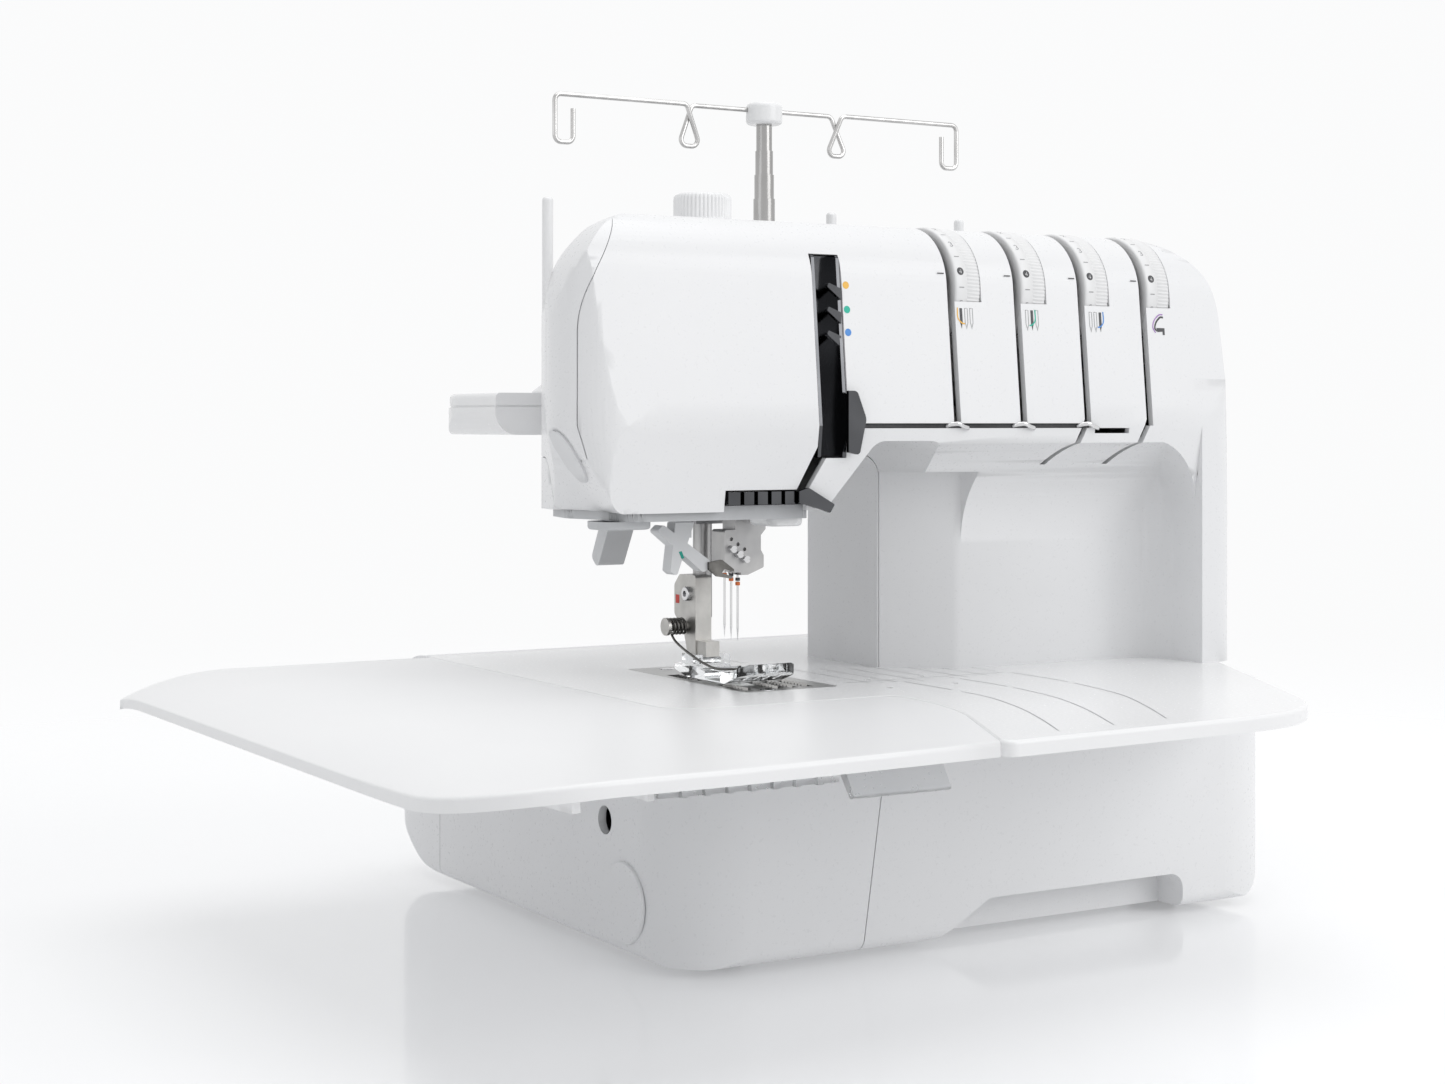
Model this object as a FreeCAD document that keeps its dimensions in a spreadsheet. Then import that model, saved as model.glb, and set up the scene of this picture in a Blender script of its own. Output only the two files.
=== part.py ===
"""Three-needle cover-stitch machine with an extension table, as separate pieces.

Millimetres. +X is the machine's right, +Y its back, +Z up. Pieces are drawn from the needle's axis on
the floor plane; each finished piece is then moved so that the origin lies under the middle of the whole.
"""
import FreeCAD, Part
import Sketcher
import math
import os
import re

# Driving sizes: name, millimetres, meaning. Places are distances from the needle's axis or the floor.
SIZES = [
    ("bed_height", 90, "floor to the bed's top"),
    ("bed_thick", 5, "bed plate"),
    ("foot_height", 3, "rubber feet under the tub"),
    ("foot_radius", 9, "rubber feet"),
    ("foot_inset", 34, "feet from the tub's sides"),
    ("base_left", 61, "needle to the tub's left wall"),
    ("base_right", 213, "needle to the tub's right wall"),
    ("base_front", 69, "needle to the tub's front wall"),
    ("base_back", 176, "needle to the tub's back wall"),
    ("base_wall", 3, "tub wall"),
    ("base_corner_left", 28, "plan corner, front left"),
    ("base_corner_right", 36, "plan corner, front right"),
    ("base_corner_back", 18, "plan corners at the back"),
    ("base_edge", 4.5, "bottom edge, front and left"),
    ("base_turn_right", 30, "bottom edge, right"),
    ("base_turn_back", 52, "bottom edge, back"),
    ("back_flat", 1, "back wall between its two turns"),
    ("bed_front", 66.5, "needle to the bed's front edge"),
    ("bed_back", 138, "needle to the bed's back edge"),
    ("bed_corner", 16, "bed corner, front left"),
    ("seam_gap", 0.4, "gap between two mouldings"),
    ("cover_seam_top", 24, "looper cover seam at the bed"),
    ("cover_seam_foot", 11, "looper cover seam at the floor"),
    ("cover_back", 125, "looper cover's back seam"),
    ("cover_lap", 6, "looper cover's bottom edge under the tub"),
    ("cap_radius", 14, "round access cap"),
    ("cap_front", 32, "cap centre in front of the needle"),
    ("cap_height", 21, "cap centre above the floor"),
    ("pin_hole_radius", 5, "table pin hole in the left wall"),
    ("pin_hole_front", 17, "pin hole in front of the needle"),
    ("pin_hole_height", 47, "pin hole above the floor"),
    ("grip_left", 38, "grip recess, left foot"),
    ("grip_slope", 28, "grip recess, run of the slanted left end"),
    ("grip_right", 156, "grip recess, right end"),
    ("grip_height", 16, "grip recess, height above the floor"),
    ("grip_depth", 14, "grip recess, depth"),
    ("grip_turn", 6, "grip recess, corners"),
    ("table_thick", 4.5, "table plate"),
    ("table_left", 190, "needle to the table's left end"),
    ("table_front", 192, "needle to the table's front, left end"),
    ("table_back", 136, "needle to the table's back edge"),
    ("table_corner_front", 76, "table corner, front left"),
    ("table_corner_back", 14, "table corner, back left"),
    ("table_edge", 1.6, "rounding of the table's top edge"),
    ("table_rib", 2.2, "ribs under the table"),
    ("table_rib_depth", 5, "ribs under the table"),
    ("fall_start", 171, "where the table starts to fall, tangents' meeting point"),
    ("fall_radius", 73, "curve of the table's falling end"),
    ("fall_run", 24, "falling end, run past the meeting point"),
    ("fall_drop", 20, "falling end, drop"),
    ("wing_seam", 27, "seam of table and wing at the bed's front edge"),
    ("wing_bend", 23, "seam's bend, from the needle"),
    ("wing_bend_front", 108, "seam's bend, in front of the needle"),
    ("wing_bend_radius", 120, "seam's bend"),
    ("wing_tip", 13, "seam at the front edge, left of the needle"),
    ("wing_front", 179, "wing's front edge at the seam"),
    ("wing_corner", 128, "wing's front corner, right of the needle"),
    ("wing_corner_front", 171, "wing's front corner, in front of the needle"),
    ("wing_turn", 60, "wing's front corner"),
    ("wing_join", 20, "where the wing meets the right wall, in front of the needle"),
    ("wing_join_turn", 40, "wing's back corner"),
    ("bracket_left", 111, "clear bracket, left end from the needle"),
    ("bracket_depth", 9, "clear bracket, height"),
    ("latch_width", 36, "clear latch, along the wall"),
    ("latch_drop", 13, "clear latch, height"),
    ("clear_wall", 2, "walls of the clear mouldings"),
    ("plate_left", 14, "needle plate, left of the needle"),
    ("plate_right", 25, "needle plate, right of the needle"),
    ("plate_front", 34, "needle plate, in front of the needle"),
    ("plate_back", 55, "needle plate, behind the needle"),
    ("plate_thick", 2, "needle plate"),
    ("plate_ledge", 2.5, "ledge under the needle plate"),
    ("plate_gap", 0.15, "gap round the needle plate"),
    ("feed_slot_width", 3.2, "slots of the needle plate"),
    ("feed_slot_start", 7, "slots from the needle line"),
    ("feed_slot_long", 22, "slots, length"),
    ("feed_pitch", 6.2, "rows of teeth, apart"),
    ("feed_play", 3.2, "room for the dogs' stroke at each slot end"),
    ("feed_gap", 0.4, "dogs clear of the slot sides"),
    ("feed_rise", 0.6, "teeth above the plate"),
    ("tooth_pitch", 2.2, "feed dog teeth"),
    ("arm_depth", 74.5, "tuck line to the arm's top"),
    ("arm_front", 40, "needle to the arm's front, at its lower edge"),
    ("arm_lean", 7, "front face leans back up to the top"),
    ("arm_back", 62, "needle to the arm's back"),
    ("tuck_height", 30, "head's bottom to the line where it tucks in"),
    ("arm_turn_front", 24, "arm's top front edge"),
    ("arm_turn_back", 16, "arm's top back edge"),
    ("arm_turn_right", 34, "arm's top right corner"),
    ("column_right_top", 202, "needle to the right wall at the top"),
    ("head_left", 88, "needle to the head's left end"),
    ("head_rise", 63.5, "bed to the head's bottom"),
    ("head_taper", 14, "left end tucks in at the bottom"),
    ("head_tuck", 4.5, "front tucks in at the bottom"),
    ("head_turn", 38, "head's top left corner"),
    ("head_corner", 23, "head's plan corners"),
    ("head_point", 106.6, "left end's wall, where its line meets the front's"),
    ("head_back", 42.2, "left end's wall, where its line meets the back's"),
    ("head_low_right", 18, "head's bottom, right end"),
    ("throat_left", 38, "throat, left end of its roof"),
    ("roof_step", 24.5, "head's bottom to the throat's roof"),
    ("column_left", 73, "needle to the column's left wall"),
    ("throat_turn", 12, "throat's corner at the column"),
    ("column_face", 8, "column's front face in front of the needle"),
    ("recess_right", 192, "right end of the hollow in front of the column"),
    ("recess_turn", 26, "hollow's top right corner"),
    ("recess_corner", 18, "hollow's corner at the pillar"),
    ("recess_sweep", 40, "sweep from the column up to the arm"),
    ("column_corner", 14, "column's right front corner"),
    ("shell_wall", 2.6, "arm covers"),
    ("side_seam", 83.5, "side cover's seam from the needle"),
    ("side_seam_drop", 30, "arm's top to where the seam turns"),
    ("side_seam_top", 50, "side cover's seam at the top"),
    ("rear_seam_low", 12, "rear cover's seam on the column"),
    ("rear_seam_high", 40, "rear cover's seam on the arm"),
    ("rear_seam_rise", 18.5, "head's bottom to the seam's step"),
    ("take_left", 12.6, "take-up slot, left side"),
    ("take_right", 25.2, "take-up slot, right side"),
    ("take_drop", 11.5, "take-up slot, below the tuck line"),
    ("take_gap", 13, "take-up slot, below the arm's top"),
    ("take_depth", 13, "take-up guide, depth"),
    ("guide_left", 24, "lower guide's notch, left of the needle"),
    ("guide_right", 10, "lower guide's notch, right of the needle"),
    ("guide_tall", 7.5, "lower guide's notch, height"),
    ("channel_first", 73.2, "first tension channel"),
    ("channel_pitch", 30.7, "tension channels, apart"),
    ("channel_width", 3.2, "tension channels"),
    ("thread_slot_left", 29, "level thread slot, left end"),
    ("thread_slot_right", 136, "level thread slot, right end"),
    ("thread_slot_high", 1.8, "level thread slot, height"),
    ("dial_radius", 24.5, "tension dials"),
    ("dial_width", 11.4, "tension dials"),
    ("dial_offset", 2.2, "dial's left face from its channel"),
    ("dial_gap", 0.4, "dial clear of its window"),
    ("dial_back", 11.2, "dial axis in front of the needle"),
    ("dial_drop", 24, "arm's top to the dials' axis"),
    ("spindle_radius", 3, "tension spindles"),
    ("disc_radius", 13, "tension discs"),
    ("running_gap", 0.05, "radial running clearance"),
    ("knob_radius", 10.9, "foot-pressure knob"),
    ("knob_high", 12, "foot-pressure knob"),
    ("bar_radius", 3.6, "needle bar and presser bar"),
    ("presser_back", 21, "presser bar behind the needle"),
    ("needle_pitch", 2.8, "needles, apart"),
    ("needle_step", 1, "needle tips, one lower than the next"),
    ("bar_side", 5.4, "needle bar right of the middle needle"),
    ("needle_long", 38, "needle length"),
    ("needle_shank", 0.8, "needle shank radius"),
    ("needle_blade", 0.42, "needle blade radius"),
    ("clamp_tall", 21, "needle clamp, height"),
    ("clamp_gap", 0.5, "needle clamp below the underside plate"),
    ("clamp_hold", 14, "needle shank inside the clamp"),
    ("clamp_left", 5.5, "needle clamp, left of the needle"),
    ("clamp_right", 11.2, "needle clamp, right of the needle"),
    ("neck_left", 0.9, "clamp's neck, left of the needle"),
    ("neck_right", 12, "clamp's neck, right of the needle"),
    ("neck_tall", 4.4, "clamp's neck"),
    ("clamp_half", 4.6, "needle clamp, half depth"),
    ("screw_drop", 1.9, "set screws, one lower than the next"),
    ("tray_left", 66, "spool tray, left of the needle"),
    ("tray_right", 207, "spool tray, right of the needle"),
    ("tray_back", 132, "spool tray's back edge"),
    ("tray_drop", 3.5, "tuck line to the spool tray's bottom"),
    ("tray_depth", 10.5, "spool tray, height"),
    ("tray_turn", 9, "spool tray's bottom edge"),
    ("tray_corner", 34, "spool tray's corners"),
    ("deck_thick", 4.6, "spool deck"),
    ("deck_seam", 0.8, "joint of deck and tray"),
    ("seat_radius", 26, "spool seats"),
    ("pin_first", 28, "first spool pin, left of the needle"),
    ("pin_pitch", 67, "spool pins, apart"),
    ("pin_back", 95, "spool pins behind the needle"),
    ("pin_radius", 2.2, "spool pins"),
    ("pin_tall", 83.5, "spool pins above the tray's rim"),
    ("mast_place", 72.5, "mast right of the needle"),
    ("mast_radius", 4.5, "mast's lowest tube"),
    ("mast_wall", 0.35, "mast tubes"),
    ("mast_step", 10, "each tube shows, folded"),
    ("mast_low_long", 87.5, "lowest tube above the tray's rim"),
    ("tube_long", 84, "sliding tubes"),
    ("mast_cap_radius", 7.6, "mast cap"),
    ("mast_cap_high", 9, "mast cap"),
    ("wire_radius", 1, "thread guide wire"),
    ("wire_reach", 98, "wire, mast to its end"),
    ("shaft_radius", 5, "main and upper shaft"),
    ("shaft_back", 40, "main shaft behind the needle"),
    ("shaft_gap", 1.1, "large pulley's belt below the bed"),
    ("shaft_drop", 38, "dials' axis to the upper shaft"),
    ("pulley_place", 186, "pulleys, right of the needle"),
    ("pulley_wide", 6.5, "belt pulleys"),
    ("timing_radius", 12, "timing pulleys"),
    ("drive_radius", 26, "large drive pulley"),
    ("motor_pulley_radius", 7, "motor pulley"),
    ("flange", 1.6, "pulley flanges"),
    ("belt_thick", 1.6, "belts"),
    ("belt_gap", 0.3, "belt clear of its pulleys"),
    ("motor_radius", 24, "motor"),
    ("motor_long", 62, "motor"),
    ("motor_wall", 4, "motor case"),
    ("motor_gap", 2, "rotor clear of the case"),
    ("rotor_shaft", 2.5, "rotor's shaft"),
    ("motor_back", 104, "motor behind the needle"),
    ("motor_height", 40, "floor to the motor's axis"),
    ("wheel_radius", 36, "handwheel"),
    ("wheel_thick", 20, "handwheel"),
    ("wheel_gap", 3, "handwheel clear of the wall"),
    ("crank_throw", 14, "needle bar crank"),
    ("link_long", 30, "link of crank and needle bar"),
    ("looper_drop", 46, "bed to the looper shaft"),
    ("looper_place", 12, "looper shaft right of the needle"),
    ("looper_radius", 4, "looper shaft"),
    ("switch_back", 96, "power switch behind the needle"),
    ("switch_long", 20, "power switch, along the wall"),
    ("switch_low", 40, "floor to the power switch"),
    ("switch_high", 14, "power switch, height"),
    ("switch_pin", 1.2, "power switch's pins"),
    ("switch_deep", 6, "power switch's pins behind the wall"),
    ("inlet_back", 126, "mains inlet behind the needle"),
    ("inlet_long", 26, "mains inlet, along the wall"),
    ("inlet_high", 18, "mains inlet, height"),
    ("belt_hole_left", 181, "belt opening of the bed, left end"),
    ("belt_hole_right", 200, "belt opening of the bed, right end"),
    ("belt_hole_front", 10, "belt opening of the bed, front end"),
    ("belt_hole_back", 56, "belt opening of the bed, back end"),
    ("beam_front", 27, "arm frame's beam, front face"),
    ("beam_back", 47, "arm frame's beam, back face"),
    ("beam_drop", 8, "beam below the upper shaft"),
    ("beam_over", 6, "beam above the dials' axis"),
    ("beam_left", 40, "beam's left end from the needle"),
    ("beam_right", 184, "beam's right end from the needle"),
    ("post_left", 100, "frame post, left side"),
    ("post_right", 150, "frame post, right side"),
    ("lug_thick", 12, "bearing lugs of the frames"),
    ("lug_half", 5.2, "needle bar lugs, half width"),
    ("low_lug_rise", 6.5, "head's bottom to the lower lug"),
    ("high_lug_drop", 2, "upper lug below the upper shaft"),
    ("bush_left", 6.7, "presser bar's bush, left side"),
    ("bush_right", 9.8, "presser bar's bush, right side"),
    ("bush_half", 7, "presser bar's bush, half depth"),
    ("bush_show", 3.4, "presser bar's bush below the underside plate"),
    ("tab_thick", 3, "frame tabs that hold the spindles"),
    ("frame_floor", 4, "base frame's floor plate"),
    ("sole_clear", 1, "foot above the plate"),
    ("sole_thick", 4, "clear foot"),
    ("sole_left", 11, "clear foot, left of the needle"),
    ("sole_right", 13, "clear foot, right of the needle"),
    ("sole_front", 27, "clear foot, in front of the needle"),
    ("sole_back", 25, "clear foot, behind the needle"),
    ("foot_pin_back", 10, "foot pin behind the needle"),
    ("foot_pin_rise", 7, "bed to the foot pin"),
    ("foot_pin_radius", 1.2, "foot pin"),
    ("ankle_rise", 22, "bed to the presser bar's end"),
    ("ankle_tall", 38, "bed to the ankle's top"),
    ("ankle_wide", 7, "ankle, left of the presser bar"),
    ("collar_gap", 1, "presser bar's collar above the upper lug"),
    ("coil_radius", 2.7, "ankle spring, middle of the wire"),
    ("coil_wire", 0.5, "ankle spring wire"),
    ("coil_pitch", 1.5, "ankle spring, rise of a turn"),
    ("coil_turns", 4, "ankle spring turns"),
    ("lifter_left", 25, "presser lifter, left side"),
    ("lifter_right", 14, "presser lifter, right side"),
    ("lifter_back", 44, "presser lifter's pivot behind the needle"),
    ("lifter_rise", 12.5, "head's bottom to the lifter's pivot"),
    ("threader_place", 26, "threader stem, left of the needle"),
    ("threader_front", 8, "threader in front of the needle"),
    ("threader_thick", 6, "threader lever"),
    ("under_thick", 5, "underside plate"),
    ("under_show", 3, "underside plate shows below the head"),
    ("cap_lip", 1.2, "round cap's rim outside the wall"),
    ("foot_back", 96, "back feet behind the needle"),
    ("inlet_deep", 9, "mains inlet, depth"),
    ("bed_edge", 1.4, "rounding of the wing's top edge"),
    ("tap_radius", 1.25, "tapped holes for attachments"),
    ("bracket_long", 62, "clear bracket, length"),
    ("bracket_front", 146, "clear bracket in front of the needle"),
    ("bracket_wide", 12, "clear bracket, width"),
    ("latch_left", -46, "clear latch, left end"),
    ("latch_front", 150, "clear latch in front of the needle"),
    ("latch_deep", 28, "clear latch, depth"),
    ("latch_pin", 1.5, "clear latch's pins"),
    ("latch_lug", 3, "table's lugs at the latch"),
    ("column_slant", 25, "column's slanted left front, width"),
    ("knob_stem", 4, "foot-pressure knob's stem"),
    ("stem_half", 3.5, "threader's stem, half width"),
    ("stem_thick", 4.4, "threader's stem"),
    ("coil_rise", 19, "bed to the ankle spring"),
    ("coil_long", 7.9, "ankle spring's stud"),
    ("tray_wall", 2.6, "spool tray's walls"),
    ("cap_drop", 5, "mast's top inside its cap"),
    ("wire_side", 1.4, "wire's loops cross this far from its middle"),
    ("wire_bend", 2.6, "wire's bends"),
    ("wire_loop", 36, "wire's loops from the mast"),
    ("wire_drop", 17, "wire's loops, depth"),
    ("wire_hook", 19, "wire's end hooks, depth"),
    ("wire_hook_wide", 8, "wire's end hooks, width"),
    ("main_left", 50, "main shaft's left end"),
    ("link_side", 9.4, "needle link's right face from the needle bar"),
    ("motor_left", 118, "motor's left end"),
]

# Places that follow from the driving sizes, as heights above the floor unless the name says otherwise
DERIVED = {
    "deck_turn": "bed_height - foot_height - base_turn_back - back_flat",
    "head_bottom": "bed_height + head_rise",
    "end_lean": "(head_point - head_back) / (arm_back + arm_front)",
    "end_slope": "sqrt(1 + end_lean ^ 2)",
    "throat_top": "head_bottom + roof_step",
    "arm_break": "head_bottom + tuck_height",
    "arm_top": "arm_break + arm_depth",
    "side_seam_turn": "arm_top - side_seam_drop",
    "rear_seam_step": "head_bottom + rear_seam_rise",
    "take_low": "arm_break - take_drop",
    "take_high": "arm_top - take_gap",
    "guide_high": "head_bottom + guide_tall",
    "dial_high": "arm_top - dial_drop",
    "upper_height": "dial_high - shaft_drop",
    "beam_low": "upper_height - beam_drop",
    "beam_high": "dial_high + beam_over",
    "low_lug": "head_bottom + low_lug_rise",
    "high_lug": "upper_height - high_lug_drop",
    "bush_low": "head_bottom - under_show - bush_show",
    "collar_low": "high_lug + lug_thick + collar_gap",
    "clamp_high": "head_bottom - under_show - clamp_gap",
    "clamp_low": "clamp_high - clamp_tall",
    "needle_tip": "clamp_low + clamp_hold - needle_long",
    "link_right": "bar_side + link_side",
    "foot_pin_high": "bed_height + foot_pin_rise",
    "ankle_low": "bed_height + ankle_rise",
    "ankle_high": "bed_height + ankle_tall",
    "coil_high": "bed_height + coil_rise",
    "lifter_high": "head_bottom + lifter_rise",
    "tray_low": "arm_break - tray_drop",
    "tray_high": "tray_low + tray_depth",
    "pin_top": "tray_high + pin_tall",
    "mast_low_top": "tray_high + mast_low_long",
    "shaft_height": "bed_height - bed_thick - drive_radius - belt_gap - belt_thick - shaft_gap",
    "looper_height": "bed_height - looper_drop",
    "rotor_radius": "motor_radius - motor_wall - motor_gap",
}

FUNCTIONS = {"sqrt", "sin", "cos", "tan", "atan", "deg"}
PLANES = {"XY": "XY_Plane", "XZ": "XZ_Plane", "YZ": "YZ_Plane"}
TURN = {
    "Z": FreeCAD.Rotation(),
    "X": FreeCAD.Rotation(FreeCAD.Vector(0, 1, 0), 90),
    "Y": FreeCAD.Rotation(FreeCAD.Vector(1, 0, 0), -90),
}
BEYOND = "60"

doc = FreeCAD.newDocument("cover_stitch_machine")
sheet = doc.addObject("Spreadsheet::Sheet", "sizes")
pieces = {}
places = {}


def fill_sheet():
    """Writes every driving size into the sheet, with its name and meaning."""
    for row, (name, number, meaning) in enumerate(SIZES, start=1):
        sheet.set(f"A{row}", name)
        sheet.set(f"B{row}", str(number))
        sheet.set(f"C{row}", meaning)
        sheet.setAlias(f"B{row}", name)
    doc.recompute()


def bound(text):
    """Size names in an expression become cells of the sheet, derived places their own expression."""
    def cell(found):
        word = found.group(0)
        if word in DERIVED:
            return "(" + bound(DERIVED[word]) + ")"
        return word if word in FUNCTIONS else "sizes." + word
    return re.sub(r"[a-z][a-z0-9_]*", cell, str(text))


def value(text):
    """An expression's number at the present sizes."""
    result = sheet.evalExpression(bound(text))
    return float(getattr(result, "Value", result))


def bind(thing, prop, text):
    """Ties a property to an expression of sizes."""
    thing.setExpression(prop, bound(text))


# Drawing helpers

def new_sketch(body, plane, offset):
    """Sketch on one of the body's own origin planes, moved along its normal."""
    sketch = body.newObject("Sketcher::SketchObject", body.Name + "_outline")
    support = [item for item in body.Origin.OriginFeatures if item.Role == PLANES[plane]][0]
    sketch.AttachmentSupport = [(support, "")]
    sketch.MapMode = "FlatFace"
    bind(sketch, "AttachmentOffset.Base.z", offset)
    return sketch


class Drawing:
    """Collects a sketch's constraints with the sizes that drive them, then adds them at once."""

    def __init__(self, sketch):
        self.sketch = sketch
        self.constraints = []
        self.texts = []

    def add(self, *parts, text=None):
        self.constraints.append(Sketcher.Constraint(*parts))
        self.texts.append(text)

    def fix(self, geo, pos, x, y):
        self.add("DistanceX", -1, 1, geo, pos, value(x), text=x)
        self.add("DistanceY", -1, 1, geo, pos, value(y), text=y)

    def close(self):
        numbers = self.sketch.addConstraint(self.constraints)
        for number, text in zip(numbers, self.texts):
            if text is not None and re.search("[a-z]", str(text)):
                bind(self.sketch, f"Constraints[{number}]", text)


def draw_outline(sketch, corners):
    """Closed outline through corners (x, y) or (x, y, radius); a rounded corner is a tangent arc."""
    drawing = Drawing(sketch)
    count = len(corners)
    points = [FreeCAD.Vector(value(c[0]), value(c[1]), 0) for c in corners]
    radii = [value(c[2]) if len(c) > 2 else 0 for c in corners]
    entry, leave, middle = [], [], []
    for i, point in enumerate(points):
        back = (points[i - 1] - point).normalize()
        ahead = (points[(i + 1) % count] - point).normalize()
        half = back.getAngle(ahead) / 2
        reach = radii[i] / math.tan(half)
        entry.append(point + back * reach)
        leave.append(point + ahead * reach)
        middle.append(point + (back + ahead).normalize() * radii[i] * (1 / math.sin(half) - 1))
    lines = [sketch.addGeometry(Part.LineSegment(leave[i], entry[(i + 1) % count])) for i in range(count)]
    for i, corner in enumerate(corners):
        before, after = lines[i - 1], lines[i]
        if not radii[i]:
            drawing.add("Coincident", before, 2, after, 1)
            drawing.fix(after, 1, corner[0], corner[1])
            continue
        curve = Part.Arc(entry[i], middle[i], leave[i])
        arc = sketch.addGeometry(curve)
        start = sketch.getPoint(arc, 1)
        first, last = (1, 2) if start.distanceToPoint(entry[i]) < start.distanceToPoint(leave[i]) else (2,
                1)
        mark = sketch.addGeometry(Part.Point(points[i]), True)
        drawing.fix(mark, 1, corner[0], corner[1])
        drawing.add("PointOnObject", mark, 1, before)
        drawing.add("PointOnObject", mark, 1, after)
        drawing.add("Tangent", before, 2, arc, first)
        drawing.add("Tangent", arc, last, after, 1)
        drawing.add("Radius", arc, radii[i], text=corner[2])
    drawing.close()


def draw_circle(sketch, x, y, radius):
    """Circle tied to its centre and radius."""
    drawing = Drawing(sketch)
    centre = FreeCAD.Vector(value(x), value(y), 0)
    circle = sketch.addGeometry(Part.Circle(centre, FreeCAD.Vector(0, 0, 1), value(radius)))
    drawing.fix(circle, 3, x, y)
    drawing.add("Radius", circle, value(radius), text=radius)
    drawing.close()


def draw_loop(sketch, first, second):
    """Belt line round two wheels, each (x, y, radius): two arcs and their outer tangents."""
    drawing = Drawing(sketch)
    a = FreeCAD.Vector(value(first[0]), value(first[1]), 0)
    b = FreeCAD.Vector(value(second[0]), value(second[1]), 0)
    ra, rb = value(first[2]), value(second[2])
    along = math.atan2(b.y - a.y, b.x - a.x)
    spread = math.acos((ra - rb) / a.distanceToPoint(b))
    up = FreeCAD.Vector(math.cos(along + spread), math.sin(along + spread), 0)
    down = FreeCAD.Vector(math.cos(along - spread), math.sin(along - spread), 0)
    normal = FreeCAD.Vector(0, 0, 1)
    top = sketch.addGeometry(Part.LineSegment(b + up * rb, a + up * ra))
    bottom = sketch.addGeometry(Part.LineSegment(a + down * ra, b + down * rb))
    near = sketch.addGeometry(Part.ArcOfCircle(Part.Circle(a, normal, ra),
                                               along + spread, along - spread + 2 * math.pi))
    far = sketch.addGeometry(Part.ArcOfCircle(Part.Circle(b, normal, rb), along - spread, along + spread))
    drawing.add("Tangent", top, 2, near, 1)
    drawing.add("Tangent", near, 2, bottom, 1)
    drawing.add("Tangent", bottom, 2, far, 1)
    drawing.add("Tangent", far, 2, top, 1)
    for arc, wheel in ((near, first), (far, second)):
        drawing.fix(arc, 3, wheel[0], wheel[1])
        drawing.add("Radius", arc, value(wheel[2]), text=wheel[2])
    drawing.close()


# Solid helpers

def place(thing, x, y, z, axis="Z"):
    """Moves a piece to a point given in sizes, with its own Z turned to the named axis."""
    thing.Placement = FreeCAD.Placement(FreeCAD.Vector(), TURN[axis])
    places[thing.Name] = (str(x), str(y), str(z))
    for letter, text in zip("xyz", places[thing.Name]):
        bind(thing, "Placement.Base." + letter, text)
    return thing


def padded(label, plane, low, high, draw):
    """Body whose one sketch, filled by draw, is padded between two coordinates of the plane's normal."""
    body = doc.addObject("PartDesign::Body", label)
    offset = f"-({high})" if plane == "XZ" else low
    sketch = new_sketch(body, plane, offset)
    draw(sketch)
    pad = body.newObject("PartDesign::Pad", label + "_pad")
    pad.Profile = sketch
    bind(pad, "Length", f"({high}) - ({low})")
    return body


def prism(label, plane, corners, low, high, holes=()):
    """Straight prism of a rounded outline, with round holes (x, y, radius) through it."""
    def draw(sketch):
        draw_outline(sketch, corners)
        for hole in holes:
            draw_circle(sketch, *hole)
    return padded(label, plane, low, high, draw)


def turned(label, corners, x=0, y=0, z=0, axis="Z"):
    """Turned piece: corners (radius, height) revolved about the piece's own axis."""
    body = doc.addObject("PartDesign::Body", label)
    sketch = new_sketch(body, "XZ", "0")
    draw_outline(sketch, corners)
    spin = body.newObject("PartDesign::Revolution", label + "_turn")
    spin.Profile = sketch
    spin.ReferenceAxis = (sketch, ["V_Axis"])
    spin.Angle = 360
    return place(body, x, y, z, axis)


def block(label, x, y, z):
    """Box between two coordinates on each axis, each pair (low, high)."""
    box = doc.addObject("Part::Box", label)
    for prop, (low, high) in zip(("Length", "Width", "Height"), (x, y, z)):
        bind(box, prop, f"({high}) - ({low})")
    return place(box, x[0], y[0], z[0])


def rod(label, radius, long, x, y, z, axis="Z"):
    """Round bar from a point along an axis."""
    bar = doc.addObject("Part::Cylinder", label)
    bind(bar, "Radius", radius)
    bind(bar, "Height", long)
    return place(bar, x, y, z, axis)


def cut(label, base, *tools):
    """Base less every tool."""
    for number, tool in enumerate(tools):
        result = doc.addObject("Part::Cut", label if number == len(tools) - 1 else f"{label}_cut{number}")
        result.Base = base
        result.Tool = tool
        base = result
    return base


def shared(label, *shapes):
    """Space that all the shapes share."""
    base = shapes[0]
    for number, shape in enumerate(shapes[1:], start=1):
        result = doc.addObject("Part::Common",
                               label if number == len(shapes) - 1 else f"{label}_and{number}")
        result.Base = base
        result.Tool = shape
        base = result
    return base


def joined(label, *shapes):
    """One solid of several that touch."""
    result = doc.addObject("Part::MultiFuse", label)
    result.Shapes = list(shapes)
    result.Refine = True
    return result


def grouped(label, shapes):
    """Separate solids that share one node."""
    result = doc.addObject("Part::Compound", label)
    result.Links = list(shapes)
    return result


def rounded(label, base, radius, wanted):
    """Base with the wanted edges rounded; wanted takes an edge and says yes or no."""
    doc.recompute()
    size = value(radius)
    result = doc.addObject("Part::Fillet", label)
    result.Base = base
    edges = base.Shape.Edges
    result.Edges = [(number, size, size) for number, edge in enumerate(edges, start=1) if wanted(edge)]
    return result


def mid(edge):
    """Point half way along an edge."""
    return edge.valueAt((edge.FirstParameter + edge.LastParameter) / 2)


def publish(thing, node):
    """Names a finished piece and moves it into the frame of the whole."""
    x, y, z = places.get(thing.Name, ("0", "0", "0"))
    thing.Label = node
    bind(thing, "Placement.Base.x", f"({x}) - {MIDDLE_X}")
    bind(thing, "Placement.Base.y", f"({y}) - {MIDDLE_Y}")
    bind(thing, "Placement.Base.z", z)
    pieces[node] = thing
    return thing


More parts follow.
